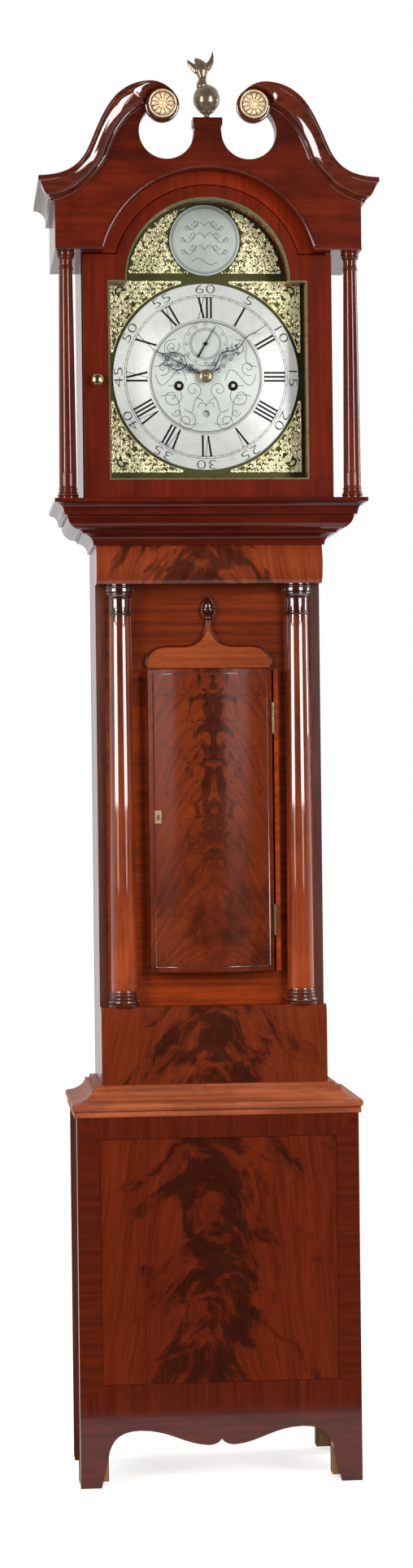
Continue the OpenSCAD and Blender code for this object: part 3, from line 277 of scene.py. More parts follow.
def plain_wood(name, dark, light, along="Z", cloud=0.5, painted_shade=None, ends=None, **sockets):
    """Solid wood, which painted shade can darken above one level and outside a pair of levels."""
    recipe = Recipe(name, **{**POLISH, **sockets})
    streaks = grain(recipe, along, 130, 4, detail=5, roughness=0.6, distortion=0.2)
    figure = recipe.ramp(streaks, (0.28, dark), (0.72, light))
    clouds = recipe.span(grain(recipe, along, 26, 9, roughness=0.6), 0.38, 0.62)
    figure = recipe.darken(clouds * cloud, figure, (0.42, 0.36, 0.34))
    level = recipe.axes()[2]
    # Painted shade: the colour darkens above one level and outside a pair of levels.
    if painted_shade:
        middle, factor, half = painted_shade
        figure = recipe.darken(recipe.span(level, middle - half, middle + half), figure, (factor,) * 3)
    if ends:
        low, high, factor = ends
        outside = recipe.larger(low - level, level - high)
        figure = recipe.darken(recipe.span(outside, -0.004, 0.004), figure, (factor,) * 3)
    pores(recipe, along, figure)


print("plain mahogany ready")

# %% [markdown]
# Crotch veneer is cut where a trunk forks. Its fine streaks arch over the centre line, and dark plumes
# run up the middle. The streaks follow parabolas: their distance from the axis is the root of x squared
# plus height over the arch, and a fine noise on that distance draws them evenly. The plumes are a
# distorted noise that leans up and outwards and wanders a little. It fades away from the centre line,
# and the fine streaks feather its edge. On the trunk door the two halves mirror each other along a
# seam, the plumes fade towards the foot, and broad dark clouds of painted shade take over there.


# %% Flame mahogany
def flame_wood(name, dark, light, centre, arch, spread, plume, level=0.5, seam=False, band=None, clouds=None,
               **sockets):
    recipe = Recipe(name, **{**POLISH, **sockets})
    x, y, z = recipe.axes()
    side, up = x - centre[0], z - centre[1]
    away = abs(side) if seam else side
    sway = recipe.noise(recipe.join(away * 6, y * 6, up * 4), detail=2)
    squared = side * side + up / arch
    ray = recipe.math("SQRT", recipe.larger(squared + (sway - 0.5) * 0.012, 0.0))
    fine = recipe.noise(recipe.join(ray * 260, away * 9, up * 7), roughness=0.6)
    broad = recipe.noise(recipe.join(ray * 45, away * 5, up * 5), detail=3)
    figure = recipe.ramp(fine * 0.65 + broad * 0.35, (0.30, dark), (0.70, light))
    wander = (recipe.noise(recipe.join(away * 9, y, up * 9), detail=3) - 0.5) * 0.11
    slant = up + wander + recipe.math("SQRT", side * side + 0.0006) * 0.9
    plumes = recipe.noise(recipe.join(away * plume[0], up * 3, slant * plume[1]), 8, 0.66, 0.6)
    reach = side / spread
    inner = recipe.math("POWER", 2.718, reach * reach * -1)
    edge = plumes + (fine - 0.5) * 0.3 + (inner - 0.6) * 0.22
    heart = recipe.span(edge, level - 0.04, level + 0.10)
    if clouds:
        low, high = clouds
        heart = heart * recipe.span(z, low, high + 0.06, 0.25, 1.0)
    figure = recipe.darken(heart * 0.85, figure, (0.16, 0.2, 0.3))
    if clouds:
        # Painted shade: broad noisy clouds that darken the door, most at its foot.
        drift = recipe.span(recipe.noise(recipe.join(side * 13, 0.0, up * 11), 6, 0.6), 0.40, 0.58)
        painted_foot_shade = drift * recipe.span(z, low, high, 1.0, 0.0)
        figure = recipe.darken(painted_foot_shade * 0.75, figure, (0.30, 0.30, 0.35))
    if band:
        figure = crossband(recipe, figure, x, z, band, dark, light)
    pores(recipe, "Z", figure, 0.3)


def crossband(recipe, figure, x, z, band, dark, light):
    """A border whose grain runs across it, with a dark line where it meets the panel."""
    left, right, low, high = band
    outside_x, outside_z = recipe.larger(left - x, x - right), recipe.larger(low - z, z - high)
    outside = recipe.larger(outside_x, outside_z)
    upright = grain(recipe, "Z", 110, 5, roughness=0.6)
    level = grain(recipe, "X", 110, 5, roughness=0.6)
    sideways = recipe.math("GREATER_THAN", outside_x, outside_z)
    streaks = sideways * level + (1.0 - sideways) * upright
    border = recipe.ramp(streaks, (0.3, dark), (0.7, tuple(0.66 * c for c in light)))
    figure = recipe.mix(recipe.math("GREATER_THAN", outside, 0), figure, border)
    joint = recipe.math("LESS_THAN", abs(outside), 0.0007)
    return recipe.darken(joint * 0.6, figure, (0.15, 0.1, 0.08))


print("flame mahogany ready")

# %% [markdown]
# The timbers of the case. Solid mouldings and columns are paler and more orange than the veneers, and
# the hood is the darkest red. Each board keeps its own direction of grain, as a maker would cut it. Some
# boards also carry painted shade: darker above a level, or at both ends.

# %% Timbers of the case
base_low, base_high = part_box("base_front")
door_low, door_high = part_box("trunk_door_panel")
post_low, post_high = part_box("trunk_columns")
TOP_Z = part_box("entablature_returns")[1].z
TURNED = dict(Coat_Weight=1.0, Coat_Roughness=0.05, Coat_IOR=1.85, Specular_IOR_Level=0.05, Roughness=0.5)

plain_wood("mahogany_hood", (0.085, 0.007, 0.0015), (0.155, 0.013, 0.002), "Z", 0.35)
# Painted shade: the tympanum darkens above the cornice's top, between the swan necks and on the finial's plinth.
plain_wood("mahogany_front", (0.085, 0.008, 0.001), (0.150, 0.013, 0.002), "X", 0.6,
           painted_shade=(TOP_Z + 0.035, 0.62, 0.05))
plain_wood("mahogany_level", (0.045, 0.0035, 0.0006), (0.112, 0.009, 0.001), "X")
# Painted shade: the recess board darkens above the top of the door.
plain_wood("mahogany_orange", (0.15, 0.017, 0.002), (0.42, 0.056, 0.006), "X", 0.3,
           painted_shade=(door_high.z - 0.02, 0.50, 0.045))
plain_wood("mahogany_ogee", (0.17, 0.030, 0.007), (0.35, 0.072, 0.018), "X", 0.3)
# Painted shade: the columns darken above 0.98 m, and much more on their turned foot and head.
plain_wood("mahogany_column", (0.20, 0.026, 0.005), (0.48, 0.080, 0.018), painted_shade=(0.98, 0.45, 0.22),
           ends=(post_low.z + 0.024, post_high.z - 0.05, 0.3), **TURNED)
plain_wood("mahogany_moulding", (0.045, 0.006, 0.0025), (0.15, 0.021, 0.006), "X", **TURNED)
plain_wood("hood_column", (0.05, 0.005, 0.001), (0.15, 0.015, 0.003),
           **{**TURNED, "Coat_IOR": 1.45, "Coat_Weight": 0.8})
plain_wood("mahogany_acorn", (0.022, 0.003, 0.001), (0.055, 0.008, 0.003), **TURNED)
plain_wood("mahogany_mask", (0.13, 0.011, 0.002), (0.24, 0.020, 0.003), "Z", 0.3)
plain_wood("mahogany_plinth_mould", (0.24, 0.052, 0.018), (0.50, 0.13, 0.05), "X", Coat_Weight=0.15,
           Coat_Roughness=0.3)
plain_wood("mahogany_side", (0.075, 0.018, 0.010), (0.15, 0.036, 0.020), Roughness=0.6, Specular_IOR_Level=0.2,
           Coat_Weight=0.8, Coat_Roughness=0.22)
plain_wood("mahogany_base_side", (0.075, 0.022, 0.014), (0.14, 0.040, 0.027), Roughness=0.7,
           Specular_IOR_Level=0.0, Coat_Weight=0.0)
plain_wood("oak", (0.18, 0.09, 0.040), (0.40, 0.24, 0.12), Roughness=0.75, Coat_Weight=0.0)
flame_wood("flame_base", (0.062, 0.0060, 0.0010), (0.165, 0.0185, 0.0025), (-0.01, base_low.z + 0.02), 31, 0.095,
           (13, 15), band=(base_low.x + 0.035, base_high.x - 0.035, base_low.z + 0.045, base_high.z - 0.034))
# The door's clouds set where its plumes fade and where painted shade darkens its foot.
flame_wood("flame_door", (0.075, 0.010, 0.002), (0.225, 0.032, 0.005), (0.002, 0.78), 12, 0.05, (62, 48), 0.51,
           seam=True, clouds=(door_low.z + 0.06, door_low.z + 0.28), Coat_Weight=0.12, Coat_Roughness=0.2)
flame_wood("flame_plinth", (0.080, 0.009, 0.002), (0.21, 0.030, 0.005), (0.0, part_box("trunk_plinth")[0].z - 0.02),
           22, 0.11, (17, 22))
flame_wood("flame_frieze", (0.10, 0.013, 0.003), (0.30, 0.05, 0.012), (-0.01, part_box("trunk_frieze")[0].z - 0.02),
           26, 0.12, (20, 24))
print("timbers ready, finishes so far", len(FINISHES))

# %% [markdown]
# Metals. Brass is lacquered and a little uneven, old steel is blued, and the dial plate was left matted
# behind its mounts. Silvering was rubbed on with a pad while the ring turned, so its grain runs round
# the centre: anisotropy about a radial tangent makes the bright sectors of a real dial. Gilding is worn
# bright on the high spots of a casting and dull in the hollows.


# %% Metals
def faded(color, factor):
    return tuple(factor * c for c in color)


def metal(name, color, roughness, wear=0.25, scale=60, **sockets):
    recipe = Recipe(name, **{"Metallic": 1.0, **sockets})
    cloud = recipe.noise(recipe.map(scale), detail=5, roughness=0.6)
    recipe.color(recipe.mix(recipe.span(cloud, 0.45, 0.7) * wear, color, faded(color, 0.55)))
    recipe.rough(recipe.span(cloud, 0.3, 0.7, roughness * 0.8, roughness * 1.3))
    recipe.bump(recipe.noise(recipe.map(900), detail=2), 0.03)


def relief_gilt(name, color, hollow, deep, proud, **sockets):
    """Gilding by depth along Y: from the proud level to the deep one it goes from bright to dull."""
    recipe = Recipe(name, **{"Metallic": 0.35, "Roughness": 0.26, **sockets})
    height = recipe.span(recipe.axes()[1], proud, deep)
    height = height + (recipe.noise(recipe.map(260), roughness=0.6) - 0.5) * 1.2
    recipe.color(recipe.ramp(height, (0.56, color), (0.78, faded(color, 0.68)), (0.98, hollow)))
    recipe.bump(recipe.noise(recipe.map(420), detail=3), 0.3, 0.001)


def silvering(name, color, roughness=0.45, anisotropy=0.3):
    recipe = Recipe(name, Metallic=0.4, Anisotropic=anisotropy, Anisotropic_Rotation=0.25)
    recipe.feed(recipe.shader["Tangent"], recipe.add("Tangent", {}, direction_type="RADIAL", axis="Y"))
    bloom = recipe.noise(recipe.map(30), detail=6, roughness=0.65)
    recipe.color(recipe.mix(recipe.span(bloom, 0.4, 0.75), color, faded(color, 0.82)))
    recipe.rough(recipe.span(bloom, 0.3, 0.7, roughness * 0.9, roughness * 1.15))


metal("brass", (0.72, 0.52, 0.22), 0.22)
metal("plate_brass", (0.10, 0.10, 0.035), 0.45, 0.5, 25)
relief_gilt("rose_gilt", (0.84, 0.66, 0.42), (0.20, 0.13, 0.07), -0.1325, -0.1355)
relief_gilt("gilt", (1.0, 0.93, 0.55), (0.22, 0.19, 0.07), -0.0350, -0.0368, Metallic=0.4, Specular_IOR_Level=0.8)
metal("sight_brass", (0.17, 0.155, 0.065), 0.3, 0.4, 60, Metallic=0.5)
metal("old_brass", (0.34, 0.27, 0.15), 0.3, 0.5, 120, Metallic=0.7)
metal("worn_brass", (0.15, 0.11, 0.05), 0.3, 0.7, 200, Metallic=0.7)
metal("bright_steel", (0.75, 0.74, 0.70), 0.3, 0.2, 120, Metallic=0.3)
metal("bronze", (0.26, 0.20, 0.13), 0.22, 0.6, 90, Metallic=0.7)
metal("bell_metal", (0.62, 0.56, 0.42), 0.25)
metal("blued_steel", (0.055, 0.065, 0.085), 0.3, 0.3, Metallic=0.5)
metal("dark_steel", (0.07, 0.075, 0.085), 0.25, 0.3)
metal("steel", (0.45, 0.45, 0.47), 0.25)
# Black wax fills the engraved hours, and the same black paints the shade in the winding holes.
metal("black_wax_and_hole_shade", (0.018, 0.018, 0.020), 0.5, 0.3, 200)
metal("graver_line", (0.12, 0.12, 0.115), 0.5, 0.3, 200)
metal("iron", (0.16, 0.15, 0.14), 0.6, 0.6, 40)
silvering("silver_ring", (0.97, 1.0, 0.94), 0.34, 0.75)
silvering("silver_centre", (0.72, 0.765, 0.71))
silvering("silver_disc", (0.52, 0.57, 0.52))

glass = Recipe("old_glass", (0.02, 0.02, 0.02), Roughness=0.03, IOR=1.5, Alpha=0.06)
glass.bump(glass.noise(glass.map(6, 6, 9), detail=2), 0.05, 0.002)
gut = Recipe("gut_line", Roughness=0.45)
twist = gut.noise(gut.map(900, 900, 300), detail=2)
gut.color(gut.ramp(twist, (0.35, (0.30, 0.20, 0.09)), (0.65, (0.55, 0.42, 0.22))))
print("finishes", len(FINISHES))

# %% [markdown]
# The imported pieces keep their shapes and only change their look. One table says which finish goes on
# which piece, so that a colour is changed in one place. Pieces that are replaced further down get a
# finish as well, and stay safe to show on their own.

# %% Finishes of the frame's pieces
USED_ON = {
    "oak": "backboard seatboard base_floor",
    "mahogany_side": "trunk_sides hood_carcase",
    "mahogany_base_side": "base_sides",
    "mahogany_hood": "hood_door_frame",
    "mahogany_front": "tympanum",
    "mahogany_mask": "hood_mask",
    "mahogany_level": "throat_moulding hood_base entablature_returns swan_necks bracket_skirt",
    "mahogany_orange": "trunk_front",
    "mahogany_ogee": "ogee_panel",
    "mahogany_column": "trunk_columns hood_columns",
    "mahogany_plinth_mould": "base_moulding",
    "flame_base": "base_front",
    "flame_door": "trunk_door_panel",
    "flame_plinth": "trunk_plinth",
    "flame_frieze": "trunk_frieze",
    "worn_brass": "trunk_hinges_fixed trunk_hinges_moving escutcheon hood_door_pins",
    "brass": "hood_knob movement_frame back_cock minute_wheel escape_wheel third_wheel centre_wheel "
             "going_great_wheel going_barrel strike_barrel strike_great_wheel pin_wheel pendulum",
    "plate_brass": "dial_plate",
    "gilt": "spandrels rosettes",
    "sight_brass": "sight_bead",
    "bronze": "finial",
    "bell_metal": "strike_bell",
    "dark_steel": "minute_hand hour_hand seconds_hand",
    "steel": "strike_hammer anchor_and_crutch",
    "iron": "going_weight strike_weight",
    "silver_ring": "chapter_ring",
    "silver_centre": "dial_centre date_disc",
    "silver_disc": "dial_roundel",
    "old_glass": "hood_glass",
    "gut_line": "going_line strike_line",
}
for finish, names in USED_ON.items():
    for node in names.split():
        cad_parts[node].data.materials.clear()
        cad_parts[node].data.materials.append(FINISHES[finish])
print("finished", sum(len(names.split()) for names in USED_ON.values()), "of", len(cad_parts))

# %% [markdown]
# New pieces share a few steps. Each starts from a clean selection, because the frame's own pieces come
# selected. When its shape is done, its place goes into its mesh, its faces are turned outwards, and it
# is told which body it rides on, which finish it has and which plain piece it stands for.


# %% Piece helpers
def start_clean():
    if bpy.context.object and bpy.context.object.mode != "OBJECT":
        bpy.ops.object.mode_set(mode="OBJECT")
    bpy.ops.object.select_all(action="DESELECT")


def only(piece):
    start_clean()
    piece.select_set(True)
    bpy.context.view_layer.objects.active = piece
    return piece


def join(pieces):
    start_clean()
    for piece in pieces:
        piece.select_set(True)
    bpy.context.view_layer.objects.active = pieces[0]
    if len(pieces) > 1:
        bpy.ops.object.join()
    return bpy.context.object


def baked():
    """The active piece's place, turn and size go into its mesh."""
    bpy.ops.object.transform_apply(location=True, rotation=True, scale=True)


def edited(piece, *steps):
    """Edit-mode steps on the whole of a piece."""
    only(piece)
    bpy.ops.object.mode_set(mode="EDIT")
    bpy.ops.mesh.select_all(action="SELECT")
    for step in steps:
        step()
    bpy.ops.object.mode_set(mode="OBJECT")
    return piece


def welded(gap):
    bpy.ops.mesh.remove_doubles(threshold=gap)


def cut_at(level, way):
    """Cuts off what lies past a level along Y, on the side that way points to, and closes the cut."""
    bpy.ops.mesh.bisect(plane_co=(0, level, 0), plane_no=(0, way, 0), clear_outer=True, use_fill=True)


def mirrored(piece):
    """A second piece on the other side of the clock's middle."""
    only(piece)
    bpy.ops.object.duplicate()
    twin = bpy.context.object
    baked()
    bpy.ops.transform.mirror(orient_type="GLOBAL", constraint_axis=(True, False, False), center_override=(0, 0, 0))
    baked()
    return twin


def place_piece(piece, name, body, finish, replaces=(), smooth=40):
    only(piece)
    if piece.type != "MESH":
        bpy.ops.object.convert(target="MESH")
        piece = bpy.context.object
    baked()
    edited(piece, lambda: welded(0.00001), lambda: bpy.ops.mesh.normals_make_consistent(inside=False))
    if smooth:
        bpy.ops.object.shade_smooth_by_angle(angle=math.radians(smooth))
    piece.name = piece.data.name = name
    piece.data.materials.clear()
    piece.data.materials.append(FINISHES[finish])
    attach(piece, body)
    if replaces:
        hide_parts(*replaces)
    print(name, len(piece.data.polygons), "faces")


# %% [markdown]
# The chapter ring's hours and minutes were cut with a graver and filled with black wax. The Roman hours
# are built as an engraver builds them: thick and thin strokes closed by fine serifs. Each letter is a
# few flat outlines, which stand a tenth of a millimetre proud, like the wax. Outlines are quicker and
# crisper here than a font, and the thick strokes keep their width.

# %% Roman hours
ring_low, ring_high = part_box("chapter_ring")
DIAL_Z = (ring_low.z + ring_high.z) / 2
RING_FACE = ring_low.y
FOOT, TOP = 0.0910, 0.1225


def bar(x0, x1, width0, width1, low=FOOT, high=TOP):
    """A stroke from (x0, low) to (x1, high) with its own width at each end."""
    return [(x0 - width0 / 2, low), (x0 + width0 / 2, low), (x1 + width1 / 2, high), (x1 - width1 / 2, high)]


def serif(x, width, level):
    return bar(x, x, width, width, level - 0.0004, level + 0.0004)


def letter(kind, x):
    if kind == "I":
        return [bar(x, x, 0.0030, 0.0030), serif(x, 0.0056, FOOT), serif(x, 0.0056, TOP)]
    if kind == "V":
        return [bar(x + 0.0006, x - 0.0038, 0.0026, 0.0032), bar(x + 0.0006, x + 0.0046, 0.0008, 0.0008),
                serif(x - 0.0038, 0.0058, TOP), serif(x + 0.0046, 0.0040, TOP)]
    return [bar(x + 0.0038, x - 0.0038, 0.0032, 0.0032), bar(x - 0.0040, x + 0.0042, 0.0008, 0.0008),
            serif(x - 0.0040, 0.0042, FOOT), serif(x + 0.0038, 0.0056, FOOT),
            serif(x - 0.0038, 0.0056, TOP), serif(x + 0.0042, 0.0042, TOP)]


def numeral(text):
    widths = [0.0062 if kind == "I" else 0.0118 for kind in text]
    x = -sum(widths) / 2
    outlines = []
    for kind, width in zip(text, widths):
        outlines += letter(kind, x + width / 2)
        x += width
    return outlines


def turned_about_centre(outline, degrees):
    """Dial coordinates: an outline turned clockwise, as seen from the front."""
    turn = math.radians(degrees)
    return [(x * math.cos(turn) + y * math.sin(turn), y * math.cos(turn) - x * math.sin(turn))
            for x, y in outline]


def inlay(outlines, thick=0.0002):
    """Flat outlines made solid, just proud of the chapter ring."""
    mesh = bpy.data.meshes.new("inlay")
    points, faces = [], []
    for outline in outlines:
        first = len(points)
        points += [(x, RING_FACE - thick / 2, DIAL_Z + z) for x, z in outline]
        faces.append(range(first, len(points)))
    mesh.from_pydata(points, [], faces)
    piece = bpy.data.objects.new("inlay", mesh)
    bpy.context.collection.objects.link(piece)
    only(piece)
    solid = piece.modifiers.new("solid", "SOLIDIFY")
    solid.thickness, solid.offset = thick, 0
    bpy.ops.object.modifier_apply(modifier="solid")
    return piece


HOURS = ["XII", "I", "II", "III", "IIII", "V", "VI", "VII", "VIII", "IX", "X", "XI"]
hour_outlines = [turned_about_centre(outline, 30 * k) for k, text in enumerate(HOURS)
                 for outline in numeral(text)]
ticks = [turned_about_centre(bar(0, 0, 0.0007, 0.0007, 0.1242, 0.1266), 6 * k) for k in range(60)]
place_piece(inlay(hour_outlines + ticks), "hour_numerals", "case", "black_wax_and_hole_shade", smooth=0)

# %% [markdown]
# The fine lines of the dial are grooves with wax in them. A curve with a hair-thin round section does
# the same job: half of it lies in the metal and half shows as a dark line. Circles, spirals and long
# S scrolls all come from one helper that turns lists of points into one piece.


# %% Engraved lines
def circle_line(x, z, radius, start=0, end=360, steps=64):
    return [(x + radius * math.sin(math.radians(start + (end - start) * k / steps)),
             z + radius * math.cos(math.radians(start + (end - start) * k / steps))) for k in range(steps + 1)]


def spiral_line(x, z, radius, start, turns, inner=0.12, steps=40):
    """A scroll that winds inwards. A negative number of turns winds the other way."""
    line = []
    for k in range(steps + 1):
        t = k / steps
        size = radius * (1 - (1 - inner) * t)
        angle = math.radians(start + 360 * turns * t)
        line.append((x + size * math.sin(angle), z + size * math.cos(angle)))
    return line


def rod(lines, thick, fineness):
    """Round rods along lists of (x, y, z) points. A list that ends where it starts is a closed ring."""
    data = bpy.data.curves.new("rod", "CURVE")
    data.dimensions, data.bevel_depth, data.bevel_resolution, data.use_fill_caps = "3D", thick / 2, fineness, True
    for line in lines:
        closed = math.dist(line[0], line[-1]) < 1e-6
        used = line[:-1] if closed else line
        spline = data.splines.new("POLY")
        spline.points.add(len(used) - 1)
        for point, place in zip(spline.points, used):
            point.co = (*place, 1)
        spline.use_cyclic_u = closed
    piece = bpy.data.objects.new("rod", data)
    bpy.context.collection.objects.link(piece)
    only(piece)
    bpy.ops.object.convert(target="MESH")
    return bpy.context.object


def engrave(name, lines, face, width):
    """Thin dark lines that lie half in the metal."""
    piece = rod([[(x, face, DIAL_Z + z) for x, z in line] for line in lines], width, 1)
    place_piece(piece, name, "case", "graver_line")


RING_RADII = (0.1442, 0.1266, 0.1236, 0.0886)
engrave("ring_lines", [circle_line(0, 0, radius) for radius in RING_RADII], RING_FACE, 0.0007)

# %% [markdown]
# Outside the hours run the minutes, numbered at every fifth one, with each number's head outwards. They
# are flat letters in Blender's own font, stretched wide and thinned a little, as a graver cuts them.


# %% Minute figures
def figures(name, radius, size, face, centre=(0.0, 0.0), weight=0.0, wide=1.0):
    """The numbers 5 to 60 in Blender's own font, flat on the dial round a centre, heads outwards."""
    labels = []
    for k in range(1, 13):
        start_clean()
        angle = math.radians(30 * k)
        place = (centre[0] + radius * math.sin(angle), face, DIAL_Z + centre[1] + radius * math.cos(angle))
        bpy.ops.object.text_add(location=place, rotation=(math.pi / 2, angle, 0))
        label = bpy.context.object
        label.data.body, label.data.size, label.data.offset = str(5 * k), size, weight
        label.data.align_x, label.data.align_y, label.data.extrude = "CENTER", "CENTER", 0.0001
        label.data.resolution_u = 4
        label.scale.x = wide
        bpy.ops.object.convert(target="MESH")
        labels.append(bpy.context.object)
    place_piece(join(labels), name, "case", "graver_line", smooth=0)


figures("minute_figures", 0.1350, 0.0200, RING_FACE, weight=-0.0003, wide=1.7)

# %% [markdown]
# The middle of the dial carries a seconds circle, winding holes in black rings and free scrollwork that
# an engraver would draw by eye. The scrolls are spirals of different sizes, set in pairs about the
# upright through the centre, with long S curves that tie them together.

# %% Engraving of the dial's centre
CENTRE_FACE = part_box("dial_centre")[0].y
SECONDS = (0.0, 0.051)


def s_curve(x0, z0, x1, z1, bulge, steps=24):
    """A line that swings to one side and then to the other."""
    dx, dz = x1 - x0, z1 - z0
    waves = [(k / steps, bulge * math.sin(2 * math.pi * (k / steps))) for k in range(steps + 1)]
    return [(x0 + dx * t - dz * wave, z0 + dz * t + dx * wave) for t, wave in waves]


scrolls = [circle_line(0, 0, radius) for radius in (0.0862, 0.0846)]
for side in (-1, 1):
    scrolls += [
        spiral_line(side * 0.053, -0.031, 0.018, 20 * side, -1.6 * side),
        spiral_line(side * 0.020, -0.020, 0.0135, 200 * side, 1.4 * side),
        spiral_line(side * 0.031, -0.069, 0.0155, -30 * side, -1.6 * side),
        spiral_line(side * 0.066, 0.014, 0.012, 160 * side, 1.3 * side),
        spiral_line(side * 0.052, 0.046, 0.012, -60 * side, -1.3 * side),
        spiral_line(side * 0.046, -0.055, 0.007, 90 * side, 1.3 * side),
        s_curve(side * 0.012, -0.072, side * 0.070, -0.030, -0.18 * side),
        s_curve(side * 0.030, -0.006, side * 0.078, 0.004, 0.30 * side),
        s_curve(side * 0.046, 0.058, side * 0.080, 0.016, 0.16 * side),
        s_curve(side * 0.004, -0.038, side * 0.034, -0.050, 0.25 * side),
        circle_line(side * 0.006, -0.046, 0.006, -90 * side, 110 * side, 20),
    ]
engrave("centre_scrolls", scrolls, CENTRE_FACE, 0.0009)

# %% [markdown]
# The seconds circle is a small chapter ring under the twelve: two rings with sixty strokes between
# them, a longer stroke at every fifth second, and the same kind of figures as the minutes have.

# %% Seconds circle
seconds_lines = [circle_line(*SECONDS, radius) for radius in (0.0340, 0.0245, 0.0215)]
for k in range(60):
    angle = math.radians(6 * k)
    outer = 0.0245 if k % 5 else 0.0262
    seconds_lines.append([(SECONDS[0] + r * math.sin(angle), SECONDS[1] + r * math.cos(angle))
                          for r in (0.0215, outer)])
engrave("seconds_lines", seconds_lines, CENTRE_FACE, 0.0006)
figures("seconds_figures", 0.0298, 0.0062, CENTRE_FACE, SECONDS)

# %% [markdown]
# A winding hole shows as a dark ring with a bright speck in it. The ring is painted shade: a black
# torus on the dial stands for the hole's shadowed wall. The speck is the polished square end of the
# barrel's arbor. Each square rides on its barrel and turns with it.

# %% Winding holes
winding = []
for side in (-1, 1):
    start_clean()
    bpy.ops.mesh.primitive_torus_add(location=(side * 0.042, CENTRE_FACE, DIAL_Z - 0.014),
                                     rotation=(math.pi / 2, 0, 0), major_radius=0.0058, minor_radius=0.0019,
                                     major_segments=32, minor_segments=8)
    winding.append(bpy.context.object)
place_piece(join(winding), "winding_hole_shade_rings", "case", "black_wax_and_hole_shade")
for name, side in (("strike", -1), ("going", 1)):
    start_clean()
    bpy.ops.mesh.primitive_cube_add(size=1, location=(side * 0.042, -0.0382, DIAL_Z - 0.014),
                                    scale=(0.0048, 0.0012, 0.0048))
    place_piece(bpy.context.object, name + "_winding_end", name + "_barrel", "bright_steel", smooth=0)

# %% [markdown]
# The hands turn under a domed brass collet. It is turned work: a disc is added, and its face is pulled
# out and drawn in ring by ring, as a turner works down from the edge. The same helper makes every
# turned piece of the clock, each from its own list of radii and heights.


# %% Turned pieces
AXES = {"Z": ((0, 0, 0), (0, 0, 1)), "-Y": ((math.pi / 2, 0, 0), (0, -1, 0))}


def turned_piece(profile, place, axis="Z", sides=40):
    """A lathe-turned solid from (radius, height) pairs, from its foot to its top."""
    turn, way = AXES[axis]
    place, way = Vector(place), Vector(way)
    start_clean()
    radius, level = profile[0]
    bpy.ops.mesh.primitive_circle_add(vertices=sides, radius=radius, fill_type="NGON", rotation=turn,
                                      location=place + way * level)
    bpy.ops.object.mode_set(mode="EDIT")
    bpy.ops.mesh.select_all(action="SELECT")
    for next_radius, next_level in profile[1:]:
        bpy.ops.mesh.extrude_region_move(TRANSFORM_OT_translate={"value": way * (next_level - level)})
        bpy.ops.transform.resize(value=(next_radius / radius,) * 3, center_override=place + way * next_level)
        radius, level = next_radius, next_level
    bpy.ops.object.mode_set(mode="OBJECT")
    return bpy.context.object


collet = turned_piece([(0.0105, 0), (0.0105, 0.0006), (0.0090, 0.0016), (0.0060, 0.0026), (0.0040, 0.0029),
                       (0.0036, 0.0040), (0.0022, 0.0048), (0.0008, 0.0051)],
                      (0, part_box("minute_hand")[0].y, DIAL_Z), "-Y")
place_piece(collet, "hand_collet", "minute_hand", "old_brass")

# %% [markdown]
# The arch holds a silvered disc. A plain double ring and open flourishes fill it, in the same wax-filled
# line as the rest of the dial.

# %% Engraving of the arch disc
round_low, round_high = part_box("dial_roundel")
ROUND_UP = (round_low.z + round_high.z) / 2 - DIAL_Z
flourishes = [circle_line(0, ROUND_UP, radius) for radius in (0.0515, 0.0495)]
for row, reach in ((0.022, 0.026), (0.004, 0.034), (-0.015, 0.032)):
    for side in (-1, 1):
        flourishes += [
            s_curve(0, ROUND_UP + row, side * reach, ROUND_UP + row, 0.22 * side),
            spiral_line(side * reach * 0.55, ROUND_UP + row + 0.004, 0.0062, 90 * side, 1.3 * side, steps=24),
            spiral_line(side * reach, ROUND_UP + row - 0.002, 0.0052, -90 * side, -1.2 * side, steps=24),
        ]
flourishes.append(s_curve(-0.020, ROUND_UP - 0.033, 0.020, ROUND_UP - 0.033, 0.12))
engrave("arch_flourishes", flourishes, round_low.y, 0.0008)

# %% [markdown]
# Spandrels are castings: leafy scrolls in low relief, filed, matted and gilded. At this size they are
# better grown than assembled. A fine grid covers each corner, and every point takes its height from the
# nearest scroll or leaf, which rounds over like a stalk. Points that no scroll reaches are cut out,
# which leaves the openwork. The sheet's back is flat against the dial, and walls close its edges. One
# corner is made and turned round the dial for the other three.


# %% Casting helpers
def stem(points, width0, width1, height, steps=10):
    """A stalk along points: samples of (x, z, half width, height), evenly tapered."""
    samples = []
    count = len(points) - 1
    for k, ((x0, z0), (x1, z1)) in enumerate(zip(points, points[1:])):
        for j in range(steps):
            t = (k + j / steps) / count
            f = j / steps
            samples.append((x0 + (x1 - x0) * f, z0 + (z1 - z0) * f, width0 + (width1 - width0) * t, height))
    return samples


def scroll(x, z, radius, start, turns, width=0.0021):
    line = spiral_line(x, z, radius, start, turns, inner=0.2, steps=26)
    return stem(line, width * 0.75, width, 1.0, 2) + [(*line[-1], width * 1.35, 1.25)]


def frond(x, z, heading, length, curl=60.0, leaves=4, width=0.0022):
    """An acanthus frond: a curved rib with leaflets that fan out on its outer side."""
    samples, px, pz, angle = [], x, z, heading
    for k in range(leaves * 3):
        step = length / (leaves * 3)
        nx, nz = px + step * math.sin(math.radians(angle)), pz + step * math.cos(math.radians(angle))
        fade = 1 - 0.6 * k / (leaves * 3)
        samples += stem([(px, pz), (nx, nz)], width * fade, width * fade, 1.0, 4)
        if k % 3 == 1:
            for turn in (-48, 48):
                tip = math.radians(angle + turn)
                reach = length * 0.30 * fade
                samples += stem([(nx, nz), (nx + reach * math.sin(tip), nz + reach * math.cos(tip))],
                                width * 0.85 * fade, width * 0.4 * fade, 0.8, 5)
        px, pz, angle = nx, nz, angle + curl / (leaves * 3)
    return samples


